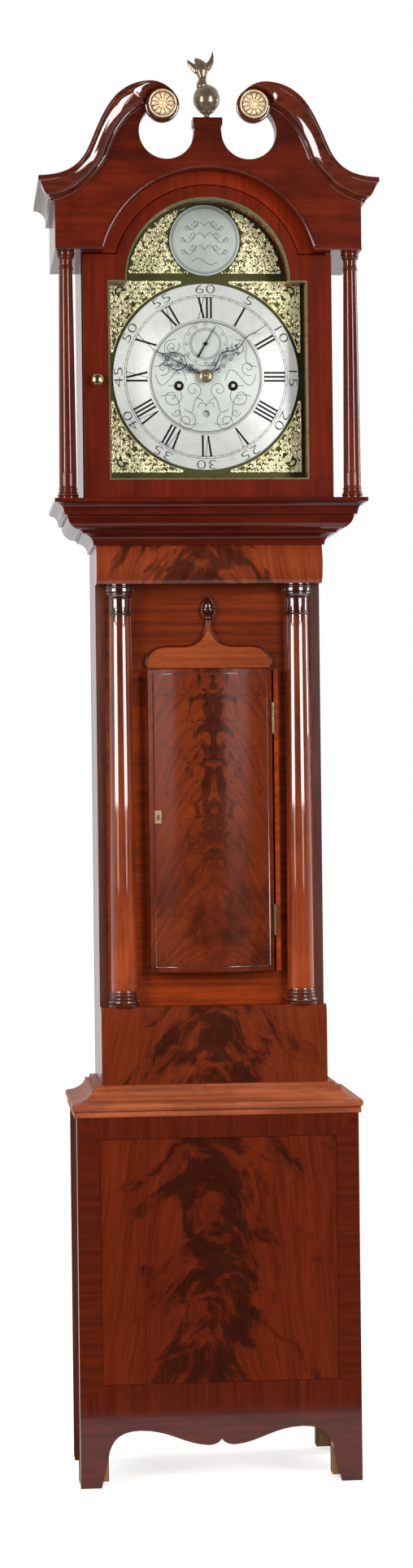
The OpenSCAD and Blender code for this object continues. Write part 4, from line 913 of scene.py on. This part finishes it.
def cast(samples, low, high, keep, face, step, thick=0.0034):
    """A relief over a rectangle: a grid whose points rise to the nearest stem, with the rest cut away."""
    start_clean()
    across, upward = round((high[0] - low[0]) / step), round((high[1] - low[1]) / step)
    bpy.ops.mesh.primitive_grid_add(x_subdivisions=across, y_subdivisions=upward, size=1,
                                    rotation=(math.pi / 2, 0, 0))
    piece = bpy.context.object
    bpy.ops.object.transform_apply(rotation=True)
    points = np.empty(len(piece.data.vertices) * 3)
    piece.data.vertices.foreach_get("co", points)
    points = points.reshape(-1, 3)
    x = low[0] + (points[:, 0] + 0.5) * (high[0] - low[0])
    z = low[1] + (points[:, 2] + 0.5) * (high[1] - low[1])
    stems = np.array(samples)
    rise = np.full(len(x), -1.0)
    for part in np.array_split(stems, max(1, len(stems) // 200)):
        gap = (x[:, None] - part[:, 0]) ** 2 + (z[:, None] - part[:, 1]) ** 2
        arch = 1 - gap / part[:, 2] ** 2
        rise = np.maximum(rise, np.where(arch > 0, np.maximum(arch, 0) ** 0.6 * part[:, 3], arch * 0.5).max(1))
    rise = np.where(keep(x, z), rise, -1.0)
    points[:, 0], points[:, 2] = x, z
    points[:, 1] = face - thick * (0.15 + 0.68 * np.clip(rise, 0, 1.25))
    piece.data.vertices.foreach_set("co", points.ravel())
    shaped = bmesh.new()
    shaped.from_mesh(piece.data)
    shaped.verts.ensure_lookup_table()
    loose = [v for v, up in zip(shaped.verts, rise) if up <= 0]
    bmesh.ops.delete(shaped, geom=loose, context="VERTS")
    rim = [e for e in shaped.edges if e.is_boundary]
    back = bmesh.ops.duplicate(shaped, geom=shaped.verts[:] + shaped.edges[:] + shaped.faces[:])["geom"]
    wall = bmesh.ops.extrude_edge_only(shaped, edges=rim)["geom"]
    for v in (g for g in back + wall if isinstance(g, bmesh.types.BMVert)):
        v.co.y = face
    bmesh.ops.reverse_faces(shaped, faces=[g for g in back if isinstance(g, bmesh.types.BMFace)])
    bmesh.ops.remove_doubles(shaped, verts=shaped.verts[:], dist=0.00001)
    shaped.to_mesh(piece.data)
    shaped.free()
    return piece


def packed(low, high, keep, spacing, width=0.00135):
    """Small scrolls and buds that fill a field, row by row, each turned a little further than the last."""
    samples, row, z = [], 0, low[1]
    while z < high[1]:
        x = low[0] + (row % 2) * spacing / 2
        while x < high[0]:
            if keep(x, z):
                place = round(x / spacing)
                turn = (137.5 * (row + 3 * place)) % 360
                samples += scroll(x, z, spacing * 0.52, turn, 1.25 if (row + place) % 2 else -1.25, width)
                samples += frond(x + spacing * 0.45, z, turn, spacing * 0.9, 50, 2, width * 0.8)
            x += spacing
        row, z = row + 1, z + spacing * 0.87
    return samples


print("casting helpers ready")

# %% [markdown]
# A corner spandrel fills the triangle between the chapter ring and the dial's corner. A fan-shaped shell
# sits on the diagonal, with scrolls and fronds on both sides of it that mirror each other, and a thin
# frame runs along the dial's edge and round the ring. Small scrolls fill what is left, because real
# castings leave only narrow openings.

# %% Corner spandrels
PLATE_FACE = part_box("dial_plate")[0].y
EDGE = 0.1478


def corner_at(u, v):
    """Corner coordinates, from the dial's outer corner inwards, to dial coordinates."""
    return (EDGE - u, EDGE - v)


def corner_design():
    """Scrolls and fronds on both sides of the corner's diagonal, round a shell."""
    design = []
    shell = corner_at(0.0170, 0.0170)
    for k in range(7):
        angle = math.radians(225 - 54 + 18 * k)
        tip = (shell[0] - 0.0075 * math.sin(angle), shell[1] - 0.0075 * math.cos(angle))
        design += stem([shell, (shell[0] + 0.0115 * math.sin(angle), shell[1] + 0.0115 * math.cos(angle))],
                       0.0008, 0.0017, 1.25, 8)
        design += stem([shell, tip], 0.0008, 0.0014, 0.9, 6)
    design += stem(circle_line(*shell, 0.0105), 0.0013, 0.0013, 1.0, 2)
    for flip in (False, True):
        half = []
        half += scroll(*corner_at(0.0300, 0.0100), 0.0068, 90, -1.3, 0.0015)
        half += scroll(*corner_at(0.0455, 0.0085), 0.0054, -90, 1.3, 0.0014)
        half += scroll(*corner_at(0.0090, 0.0060), 0.0045, 0, 1.2, 0.0014)
        half += scroll(*corner_at(0.0560, 0.0048), 0.0033, 60, -1.1, 0.0014)
        half += frond(*corner_at(0.0230, 0.0200), -80, 0.0200, -35)
        half += frond(*corner_at(0.0360, 0.0150), -95, 0.0150, 40, 3)
        half += frond(*corner_at(0.0500, 0.0110), -75, 0.0120, -30, 3, 0.0016)
        half += frond(*corner_at(0.0200, 0.0030), -90, 0.0180, 15, 4, 0.0016)
        half += frond(*corner_at(0.0600, 0.0020), -90, 0.0120, 10, 3, 0.0013)
        half += stem([corner_at(0.0030, 0.0022), corner_at(0.0300, 0.0018), corner_at(0.0700, 0.0014)],
                     0.0013, 0.0008, 0.7)
        half += packed((0.037, 0.037), (EDGE, EDGE), lambda x, z: z >= x and math.hypot(x, z) > 0.1505
                       and math.dist((x, z), shell) > 0.0118, 0.0084)
        half += stem([(0.037, EDGE - 0.0012), (EDGE, EDGE - 0.0012)], 0.0013, 0.0013, 0.8, 90)
        half += stem(circle_line(0, 0, 0.1492, 14, 46, 50), 0.0012, 0.0012, 0.8, 2)
        design += [(z, x, w, h) for x, z, w, h in half] if flip else half
    return design


def in_corner(x, z):
    return (x ** 2 + z ** 2 > 0.1478 ** 2) & (x < EDGE) & (z < EDGE)


corner = cast(corner_design(), (0.037, 0.037), (EDGE, EDGE), in_corner, PLATE_FACE, step=0.0009)
corners = [corner]
for quarter in range(1, 4):
    only(corner)
    bpy.ops.object.duplicate()
    copy = bpy.context.object
    copy.rotation_euler = (0, quarter * math.pi / 2, 0)
    bpy.ops.object.transform_apply(rotation=True)
    corners.append(copy)
corner_cast = join(corners)
corner_cast.location = (0, 0, DIAL_Z)
print("corners", len(corner_cast.data.polygons), "faces")

# %% [markdown]
# In the arch the same ornament climbs round the disc. Scrolls follow its edge like a border, and larger
# buds stand in the two horns beside it. One side is made, and a mirrored copy is the other, with a mesh
# of its own. All castings are joined, as one piece in place of the plain ones.

# %% Arch spandrels
ARCH_UP, ARCH_R = 0.1465, 0.1195
BUDS = ((0.084, 0.166, 0.0100, 1.4), (0.104, 0.170, 0.0080, -1.3), (0.070, 0.172, 0.0070, -1.3),
        (0.094, 0.187, 0.0075, 1.3), (0.080, 0.193, 0.0065, -1.2), (0.112, 0.185, 0.0055, 1.2),
        (0.103, 0.202, 0.0062, -1.2), (0.088, 0.213, 0.0066, 1.2), (0.074, 0.229, 0.0060, -1.2),
        (0.094, 0.224, 0.0055, 1.2))


def arch_design():
    """Scrolls and fronds that climb round the disc, for one side of the arch."""
    design = []
    mid = 0.5 * (0.0545 + 0.0655) + 0.0035
    far = mid + 0.0090
    for k, angle in enumerate(range(98, 4, -13)):
        a = math.radians(angle)
        x, z = mid * math.sin(a), ROUND_UP + mid * math.cos(a)
        design += scroll(x, z, 0.0062, angle + 90, 1.25 if k % 2 else -1.25, 0.0014)
        x, z = far * math.sin(a + 0.08), ROUND_UP + far * math.cos(a + 0.08)
        design += frond(x, z, angle - 60, 0.0130, 60, 3, 0.0015)
    for x, z, size, turns in BUDS:
        design += scroll(x, z, size, 40, turns, 0.0015)
        design += frond(x - 0.6 * size, z + 0.8 * size, -30 if turns > 0 else 50, size * 1.6, 50, 3, 0.0016)
    design += stem([(0.060, 0.1645), (0.080, 0.1605), (0.100, 0.1600), (0.116, 0.1630)], 0.0016, 0.0012, 0.8)
    design += packed((0.004, 0.160), (0.120, 0.268), lambda x, z: math.hypot(x, z - ARCH_UP) < 0.118
                     and math.hypot(x, z - ROUND_UP) > 0.058, 0.0086)
    return design


def in_arch(x, z):
    return ((x ** 2 + (z - ARCH_UP) ** 2 < ARCH_R ** 2) & (z > 0.1595)
            & (x ** 2 + (z - ROUND_UP) ** 2 > 0.0558 ** 2) & (x > 0.0035))


arch_right = cast(arch_design(), (0.0, 0.158), (0.120, 0.268), in_arch, PLATE_FACE, step=0.0009)
arch_right.location = (0, 0, DIAL_Z)
casting = join([corner_cast, arch_right, mirrored(arch_right)])
place_piece(casting, "spandrel_castings", "case", "gilt", ["spandrels"], smooth=60)

# %% [markdown]
# A swan neck is a moulding that rises along an S and curls round a rosette. A carver works it from a
# sawn blank with scratch stocks, so its section stays the same while it bends. Here a grid is laid
# between the outer and the inner edge of the S, and each of its columns takes its depth from the
# section: a flat lip, a long soft slope that catches the lamps, and a bead against the board. The grid's
# rim is then drawn back to the board, which closes the solid.

# %% Helpers for curved mouldings
tympanum_low, tympanum_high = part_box("tympanum")
BOARD_FACE = tympanum_low.y + 0.002
MM = 0.001


def bezier(points, t):
    a, b, c, d = (np.array(p, float) for p in points)
    return (1 - t) ** 3 * a + 3 * t * (1 - t) ** 2 * b + 3 * t * t * (1 - t) * c + t ** 3 * d


def bend(centre, radius, start, end, t):
    angle = math.radians(start + (end - start) * t)
    return np.array([centre[0] + radius * math.cos(angle), centre[1] + radius * math.sin(angle)])


def shaped_grid(rows, columns, place_of):
    """A grid whose point in row i and column j goes where place_of(i, j) says."""
    start_clean()
    bpy.ops.mesh.primitive_grid_add(x_subdivisions=columns - 1, y_subdivisions=rows - 1, size=1)
    piece = bpy.context.object
    for vertex in piece.data.vertices:
        column, row = round((vertex.co.x + 0.5) * (columns - 1)), round((vertex.co.y + 0.5) * (rows - 1))
        vertex.co = place_of(row, column)
    return piece


def draw_back(piece, level):
    """The rim of a sheet is extruded to a level along Y and closed there."""
    only(piece)
    bpy.ops.object.mode_set(mode="EDIT")
    bpy.ops.mesh.select_mode(type="EDGE")
    bpy.ops.mesh.select_all(action="DESELECT")
    bpy.ops.mesh.select_non_manifold()
    bpy.ops.mesh.extrude_region_move(TRANSFORM_OT_translate={"value": (0, 0, 0)})
    bpy.ops.object.mode_set(mode="OBJECT")
    for vertex in piece.data.vertices:
        if vertex.select:
            vertex.co.y = level
    bpy.ops.object.mode_set(mode="EDIT")
    bpy.ops.mesh.edge_face_add()
    bpy.ops.object.mode_set(mode="OBJECT")
    return piece


print("board face", round(BOARD_FACE, 4), "cornice top", round(TOP_Z, 3))

# %% [markdown]
# The two edges of the neck are drawn as curves in millimetres from the top of the cornice. The outer one
# sweeps up and over, and the inner one ends in an arc round the rosette's disc. A table says which place
# on the inner edge belongs to which on the outer, so that the section stays square to the neck. The foot
# is cut straight, to meet the cornice at the corner.

# %% Swan necks
OUTER = [[(259, 1), (222, 2), (203, 12), (189, 33)], [(189, 33), (177, 52), (166, 95), (142, 121.5)],
         [(142, 121.5), (128, 136), (108, 146), (86, 146)], [(86, 146), (72, 146), (60, 138), (52, 130)]]
INNER = [[(234, -33), (205, -26), (175, -3), (154, 33)], [(154, 33), (146, 55), (135, 92), (95, 112)]]
SCROLL, NECK_ROWS = (69.5, 112), 120
MATCH = [(0, 0), (1, 1), (2, 1.72), (2.42, 2), (3, 2.45), (4, 3)]
SECTION = [(0, 25), (0.03, 25), (0.10, 25), (0.115, 22.6), (0.14, 22.4), (0.20, 22.4), (0.22, 21.6), (0.26, 21.4),
           (0.30, 21.1), (0.36, 20.5), (0.42, 19.8), (0.48, 18.9), (0.54, 18.0), (0.60, 17.0), (0.66, 15.9),
           (0.70, 15.0), (0.74, 14.0), (0.78, 12.9), (0.80, 12.2), (0.815, 8.4), (0.83, 8.0), (0.85, 8.9),
           (0.87, 9.2), (0.89, 8.9), (0.905, 8.0), (0.92, 5.0), (0.95, 2.2), (0.97, 1.0), (1, 0.3)]


def on_outer(u):
    k = min(int(u), 3)
    return bezier(OUTER[k], u - k)


def on_inner(u):
    return bezier(INNER[int(u)], u - int(u)) if u < 2 else bend(SCROLL, 25, 0, 134, u - 2)


def neck_point(row, column):
    u = 4 * row / (NECK_ROWS - 1)
    out_u, in_u = np.array(MATCH).T
    v = float(np.interp(u, out_u, in_u))
    across, out = SECTION[column]
    x, z = on_outer(u) * (1 - across) + on_inner(v) * across
    out *= 1 - 0.35 * max(0.0, v - 2)
    if row == 0:
        x = 234 + out
    return (x * MM, BOARD_FACE - out * MM, TOP_Z + z * MM)


neck = draw_back(shaped_grid(NECK_ROWS, len(SECTION), neck_point), BOARD_FACE)
disc = turned_piece([(26, 0), (26, 9.5), (25.4, 11.2), (24, 12), (22.6, 12)], (0, 0, 0), "-Y", 64)
disc.scale = (MM, MM, MM)
disc.location = (SCROLL[0] * MM, BOARD_FACE, TOP_Z + SCROLL[1] * MM)
neck = join([neck, disc])
place_piece(join([neck, mirrored(neck)]), "swan_neck_mouldings", "hood",
            "mahogany_moulding", ["swan_necks"], smooth=32)

# %% [markdown]
# The hands are sawn from thin steel, filed and blued. The hour hand is a lacy head of scrolls on a short
# stem, and the minute hand runs out in a long S. Both are grown like the castings, from scrolls and
# stems on a fine grid, only much thinner. Each keeps the pipe and wheel that turn it: these are copied
# from the frame's own piece, and the plain blade in front is cut off the copy.


# %% Helpers for the hands
def pipe_of(node, level):
    """A copy of a hand's pipe and wheel, without the blade in front of a level along Y."""
    start_clean()
    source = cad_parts[node]
    copy = bpy.data.objects.new(node + "_pipe", source.data.copy())
    bpy.context.collection.objects.link(copy)
    return edited(copy, lambda: welded(0.000001), lambda: cut_at(level, -1))


def sawn_hand(samples, reach, length, face, degrees):
    """A flat hand grown from stems that point to twelve, then turned clockwise to its place."""
    scaled = [(x * MM, z * MM, w * MM, h) for x, z, w, h in samples]
    hand = cast(scaled, (-reach * MM, -0.010), (reach * MM, length * MM), lambda x, z: x == x, face,
                step=0.0004, thick=0.0012)
    only(hand)
    hand.rotation_euler = (0, math.radians(degrees), 0)
    bpy.ops.object.transform_apply(rotation=True)
    hand.location = (0, 0, DIAL_Z)
    return hand


def ring_stem(radius, width):
    return stem(circle_line(0, 0, radius, steps=40), width, width, 1.0, 3)


def both_sides(samples):
    return samples + [(-x, z, w, h) for x, z, w, h in samples]


def coil(x, z, radius, start, turns, width):
    line = spiral_line(x, z, radius, start, turns, inner=0.25, steps=26)
    return stem(line, width * 0.8, width, 1.0, 3) + [(*line[-1], width * 1.4, 1.2)]


print("hand helpers ready")

# %% [markdown]
# The hour hand is a pierced, heart-shaped head with scrolls inside it, the same on both sides of the
# stem. It is drawn pointing to twelve in millimetres, from the middle of the dial, and then turned.

# %% Hour hand
hour_side = (stem([(0.3, 34), (6, 38), (11.5, 44), (13.2, 52), (10.5, 61), (5, 68), (1.2, 76)], 1.1, 0.8, 1.0, 16)
             + coil(5.0, 45, 3.8, 200, 1.0, 0.95) + coil(8.4, 55, 3.4, 20, -1.0, 0.95)
             + coil(4.4, 64, 2.8, -40, -1.0, 0.9) + coil(3.8, 27, 3.6, 160, -1.0, 0.95)
             + stem([(0.4, 12), (3.2, 17), (0.8, 22), (4.4, 31), (1.0, 37)], 1.1, 0.9, 1.0, 14)
             + stem([(10, 58), (14.8, 65), (14, 70)], 1.0, 0.6, 1.0, 10)
             + stem([(12, 46), (15.6, 42), (14.6, 37)], 1.0, 0.6, 1.0, 10))
hour_samples = (both_sides(hour_side) + ring_stem(8.0, 1.6)
                + stem([(0, 8), (0, 40), (0, 74), (0, 88.5)], 1.0, 0.8, 1.0, 60))
hour_plane = -0.0408
hour_cast = sawn_hand(hour_samples, 18, 91, hour_plane, 297)
place_piece(join([hour_cast, pipe_of("hour_hand", hour_plane)]), "hour_hand_pierced", "hour_hand",
            "blued_steel", ["hour_hand"])

# %% [markdown]
# The minute hand is longer and not symmetrical. A main stem swings out and back along an S, and scrolls
# hang on it left and right, smaller towards the tip. It turns in a plane in front of the hour hand.

# %% Minute hand
minute_samples = (
    stem([(0, 8), (-1.5, 18), (-5.5, 27), (-10.5, 36), (-11.5, 42), (-8.5, 49), (-3, 57), (-0.6, 66), (-2, 75),
          (-5.2, 84), (-5.4, 91), (-3, 100), (-1.4, 109), (0, 125)], 1.4, 0.8, 1.0, 12)
    + stem([(2, 14), (3.5, 22), (0, 30), (-5, 38), (-4, 46), (2, 54), (1.5, 62), (-2, 70)], 1.0, 0.6, 1.0, 12)
    + coil(5.4, 19, 4.4, 200, 1.3, 0.85) + coil(-6.4, 20, 4.0, 20, -1.3, 0.85)
    + coil(5.0, 30, 4.0, -60, 1.2, 0.85) + coil(-4.4, 43, 4.2, 120, 1.3, 0.85)
    + coil(4.6, 46, 4.2, 0, -1.3, 0.85) + coil(-10.5, 52, 3.2, 20, -1.2, 0.85)
    + coil(4.6, 60, 3.2, 160, -1.2, 0.85) + coil(-6.5, 66, 2.8, 60, 1.2, 0.8)
    + stem([(-3, 98), (1.8, 104), (4.6, 107.5)], 0.8, 0.45, 1.0, 10)
    + ring_stem(7.2, 1.8))
minute_plane = -0.0448
minute_cast = sawn_hand(minute_samples, 17, 128, minute_plane, 50)
place_piece(join([minute_cast, pipe_of("minute_hand", minute_plane)]), "minute_hand_pierced", "minute_hand",
            "blued_steel", ["minute_hand"])

# %% [markdown]
# Each rosette was stamped in thin brass and gilded: a boss, twelve petals and a raised rim. A grid bent
# into a disc gives each petal its dome, because the height at a point depends only on its distance from
# the middle and on its place within a petal.

# %% Rosettes
PETALS, ROWS, RINGS = 12, 144, 34


def petal_height(radius, angle):
    boss = 10.5 + 2.0 * math.sqrt(max(0.0, 1 - (radius / 4.6) ** 2)) if radius < 4.6 else 0.0
    dots = 8.8 + 0.9 * abs(math.cos(angle * 9)) if 4.6 <= radius < 7.2 else 0.0
    length = min(1.0, max(0.0, (radius - 6.8) / 11.4))
    dome = math.sin(math.pi * min(1.0, length * 0.92 + 0.1))
    petal = 6.6 + 3.4 * dome * abs(math.cos(angle * PETALS / 2)) ** 0.6
    vein = 0.5 if abs(math.sin(angle * PETALS / 2)) < 0.16 else 0.0
    rim = 7.0 + 2.0 * math.sqrt(max(0.0, 1 - ((radius - 20.2) / 1.4) ** 2)) if radius > 18.8 else 0.0
    return max(boss, dots, petal - vein, rim)


def rosette_point(row, column):
    angle, radius = 2 * math.pi * row / ROWS, 21.6 * column / RINGS
    height = petal_height(radius, angle)
    return ((SCROLL[0] + radius * math.cos(angle)) * MM, BOARD_FACE - (12 + height) * MM,
            TOP_Z + (SCROLL[1] + radius * math.sin(angle)) * MM)


rosette = edited(shaped_grid(ROWS + 1, RINGS + 1, rosette_point), lambda: welded(0.000005))
draw_back(rosette, BOARD_FACE - 12 * MM)
place_piece(join([rosette, mirrored(rosette)]), "gilt_rosettes", "hood", "rose_gilt", ["rosettes"],
            smooth=50)

# %% [markdown]
# The finial is a turned bronze ball on a narrow foot, with a cast eagle that lifts its wings. The ball
# comes off the lathe. The eagle is modelled the way a founder builds it in wax: soft lumps are pressed
# together along its body and wings, and the whole is smoothed. A voxel remesh melts the lumps into one
# skin.

# %% Finial
FINIAL_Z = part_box("finial")[0].z
BALL_UP = 31
pear = [(11, 0), (11, 1.5), (6.5, 2.2), (5, 3.2), (4, 5), (4.4, 6.5), (9, 10), (10.6, 10.6), (11, 12), (14, 15),
        (16.6, 18.5), (18.6, 22), (19.8, 25.5), (20.3, 29), (20.3, 33), (19.6, 37), (18.3, 41), (16.4, 44.6),
        (14, 47.6), (11, 49.8), (8.4, 51), (7.6, 51.8), (6.6, 52.4), (0.5, 52.6)]
ball = turned_piece([(r * MM, h * MM) for r, h in pear], (0, BOARD_FACE + 0.015, FINIAL_Z), "Z", 64)
LUMPS = [
    [(-7, 20, 9, 8), (-6.5, 26, 6.8, 7), (-6, 32, 6.2, 6), (-6.4, 38, 8, 7), (-7, 44, 10, 8),
     (-8, 50, 10, 7), (-10, 55, 7, 5)],
    [(-11, 53, 5, 5), (-14.2, 59.5, 4.2, 4)],
    [(-14.5, 44, 6, 4), (-19.5, 49, 5.2, 3), (-24, 53.5, 4, 2.4), (-26.8, 57, 2.2, 1.8), (-27.9, 60.2, 0.9, 1.4)],
    [(-2, 45, 6.5, 4), (3, 50.5, 6.2, 3.2), (7.2, 56, 4.8, 2.6), (9.0, 62, 3.4, 2.2), (10.2, 68, 2.0, 1.6),
     (10.4, 73.5, 0.8, 1.2)],
]
lumps = []
for chain in LUMPS:
    for (x0, z0, w0, d0), (x1, z1, w1, d1) in zip(chain, chain[1:]):
        for t in (0, 0.25, 0.5, 0.75, 1):
            x, z, wide, deep = (a + (b - a) * t for a, b in ((x0, x1), (z0, z1), (w0, w1), (d0, d1)))
            start_clean()
            bpy.ops.mesh.primitive_ico_sphere_add(
                subdivisions=2, radius=1, scale=(wide * MM, deep * MM, wide * MM),
                location=(x * MM, BOARD_FACE + 0.015 + 0.0012 * (z - 45) / 10, FINIAL_Z + (BALL_UP + z) * MM))
            lumps.append(bpy.context.object)
eagle = only(join(lumps))
baked()
for kind, settings in (("REMESH", {"mode": "VOXEL", "voxel_size": 0.0009}), ("SMOOTH", {"iterations": 2})):
    step = eagle.modifiers.new(kind, kind)
    for key, value in settings.items():
        setattr(step, key, value)
    bpy.ops.object.modifier_apply(modifier=kind)
place_piece(join([ball, eagle]), "finial_eagle", "hood", "bronze", ["finial"], smooth=50)

# %% [markdown]
# The columns are turned from solid mahogany. The foot has a wide torus under thin beads, and the head
# repeats them in reverse above a short neck.
# Crisp quirks between the beads matter more than the beads, because each quirk is a dark line between
# two sparks of light.


# %% Helpers for turned columns
def ring(radius, low, high, out, count=6):
    """A half-round bead on a shaft, as (radius, height) pairs."""
    angles = [math.pi * k / count for k in range(count + 1)]
    return [(radius + out * math.sin(a), low + (high - low) * (1 - math.cos(a)) / 2) for a in angles]


def column(foot, head, shaft_low, shaft_high, place, sides=64):
    """A turned column: rings, a shaft with a slight swell, and rings again."""
    low, high = foot[-1][1], head[0][1]
    shaft = []
    for k in range(1, 12):
        t = k / 12
        swell = shaft_low + (shaft_high - shaft_low) * (0.8 * t + 0.2 * t * t)
        shaft.append((swell, low + (high - low) * t))
    profile = [(r * MM, h * MM) for r, h in foot + shaft + head]
    return turned_piece(profile, place, "Z", sides)


print("column helpers ready")

# %% [markdown]
# The trunk's columns are set into the corners of the recess, so each is turned whole and its back is
# then sawn off flat.

# %% Trunk columns
T = (post_high.z - post_low.z) / MM
trunk_foot = ([(24.4, 0), (24.4, 3.4), (23, 3.6)] + ring(22.0, 3.8, 10.2, 2.8) + [(21.4, 10.8)]
              + ring(21.2, 11.2, 14.4, 1.6) + [(20.8, 14.8), (20.8, 16.2)] + ring(20.9, 16.6, 20.2, 1.8)
              + [(20.6, 20.6)] + ring(20.6, 21, 23.4, 1.1) + [(20.4, 24), (20.8, 26.5), (21, 28)])
trunk_head = ([(17.2, T - 49)] + ring(17.1, T - 48, T - 44.8, 2.2) + [(17.0, T - 44.2)]
              + ring(17.0, T - 43.8, T - 41.8, 1.2) + [(16.9, T - 41.2), (16.9, T - 22), (17.4, T - 19.5)]
              + [(18.8, T - 17.4), (19.4, T - 17)] + ring(19.4, T - 16.6, T - 12.2, 2.0)
              + [(19.6, T - 11.6), (21.6, T - 11.2), (21.6, T - 6.6), (20.2, T - 6.2)]
              + ring(20.0, T - 5.8, T - 1.6, 2.2) + [(20.4, T - 1.2), (20.4, T)])
TRUNK_FACE = -0.0195
trunk_columns = [edited(column(trunk_foot, trunk_head, 21, 17.2, (side * 0.1375, -0.033, post_low.z)),
                        lambda: cut_at(TRUNK_FACE, 1)) for side in (-1, 1)]
place_piece(join(trunk_columns), "turned_trunk_columns", "case", "mahogany_column",
            ["trunk_columns"], smooth=35)

# %% [markdown]
# The hood's columns are slimmer sisters of the others. They stand free in front of the hood, so they
# stay round.

# %% Hood columns
hood_low, hood_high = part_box("hood_columns")
H = (hood_high.z - hood_low.z) / MM
hood_foot = ([(15.6, 0), (15.6, 3.0), (14.6, 3.2)] + ring(14.2, 3.4, 8.2, 2.0) + [(13.6, 8.7)]
             + ring(13.6, 9, 11.6, 1.2) + [(13.2, 12), (13.2, 13.2)] + ring(13.2, 13.6, 16.4, 1.4)
             + [(13.0, 16.8)] + ring(13.0, 17.2, 19.2, 0.9) + [(13.0, 19.8), (13.4, 22)])
hood_head = ([(10.3, H - 30)] + ring(10.3, H - 29.2, H - 26.4, 1.5) + [(10.2, H - 25.8)]
             + ring(10.2, H - 25.4, H - 23.8, 0.9) + [(10.1, H - 23.2), (10.1, H - 15.5), (10.6, H - 13)]
             + [(12.0, H - 11.2)] + ring(12.0, H - 10.8, H - 7.8, 1.5)
             + [(12.2, H - 7.4), (13.8, H - 7), (13.8, H - 4.2), (12.6, H - 3.9)]
             + ring(12.6, H - 3.6, H - 1.0, 1.4) + [(13, H - 0.6), (13, H)])
hood_posts = [column(hood_foot, hood_head, 13.4, 10.3, (side * 0.218, -0.097, hood_low.z), 56) for side in (-1, 1)]
place_piece(join(hood_posts), "turned_hood_columns", "hood", "hood_column", ["hood_columns"],
            smooth=35)

# %% [markdown]
# Small beads finish the edges. A half-round bead runs over the hood's arch and turns outwards along the
# foot of the board. It is a round rod along an arc, sunk halfway into the wood.

# %% Bead of the arch
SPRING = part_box("sight_bead")[1].z - 0.1269
ARCH_BEAD = 0.1684
BEAD_Y = BOARD_FACE - 0.0010
shelf = tympanum_low.z + 0.0022
start = math.degrees(math.asin((shelf - SPRING) / ARCH_BEAD))
arch = [math.radians(a) for a in np.linspace(start, 180 - start, 97)]
arch_line = [(ARCH_BEAD * math.cos(a), BEAD_Y, SPRING + ARCH_BEAD * math.sin(a)) for a in arch]
arch_line = [(tympanum_high.x, BEAD_Y, shelf)] + arch_line + [(tympanum_low.x, BEAD_Y, shelf)]
place_piece(rod([arch_line], 0.0044, 3), "arch_bead", "hood", "mahogany_moulding")

# %% [markdown]
# The shaped panel over the door is cut to a double S that rises to a point. A bead follows its edge, and
# a turned acorn, split down its middle, tops it.

# %% Shaped panel and acorn
PANEL_FACE = -0.0255
OGEE = [[(96, 3), (102, 14), (98, 26), (82, 35)], [(82, 35), (62, 41), (36, 33), (20, 43)],
        [(20, 43), (10, 50), (4, 60), (3.5, 78)], [(3.5, 78), (13, 84), (15, 102), (0, 115)]]
ogee_half = [bezier(part, t) for part in OGEE for t in np.linspace(0, 1, 16)[:-1]] + [np.array(OGEE[3][3], float)]
ogee_lines = [[(side * (x - 1.3) * MM, PANEL_FACE - 0.0002, door_high.z + (z - 0.8) * MM) for x, z in ogee_half]
              for side in (-1, 1)]
place_piece(rod(ogee_lines, 0.0034, 3), "ogee_bead", "case", "mahogany_level")

ACORN = [(4.6, 0.2), (5.8, 1.6), (6.0, 3.0), (5.4, 4.8), (4.4, 6.0), (5.7, 8.2), (9.2, 12), (10.2, 13.8),
         (10.4, 15.2), (10.2, 16.6), (9.2, 18.2), (8.0, 18.6), (8.0, 20.5), (7.5, 23.6), (6.6, 26.4),
         (4.8, 30), (2.8, 33.2), (1.0, 35.4), (0.3, 35.7)]
acorn = turned_piece([(r * MM, h * MM) for r, h in ACORN], (0, PANEL_FACE, door_high.z + 78 * MM))
place_piece(edited(acorn, lambda: cut_at(TRUNK_FACE, 1)), "turned_acorn", "case",
            "mahogany_acorn", smooth=50)

# %% [markdown]
# A fine cock bead frames the door and keeps its veneer from splintering. The door is bowed, so the bead
# follows the bow as well: at each x it lies as far forward as the curved face does. It rides on the door.

# %% Bead of the door
BOW_R, BOW_MID = (96 ** 2 + 32 ** 2) / 64, 212


def door_face(x):
    """The height of the bowed face at x, both in millimetres, as a Y in metres."""
    return 0.1385 - (BOW_MID - BOW_R + math.sqrt(BOW_R ** 2 - x * x)) * MM


def door_frame_line(inset):
    half, low, high = 96 - inset, door_low.z + inset * MM, door_high.z - inset * MM
    level = [(x * MM, door_face(x)) for x in np.linspace(-half, half, 33)]
    line = [(x, y, low) for x, y in level] + [(x, y, high) for x, y in reversed(level)]
    return line + line[:1]


place_piece(rod([door_frame_line(7.6)], 0.0024, 3), "door_cock_bead", "trunk_door",
            "mahogany_moulding")
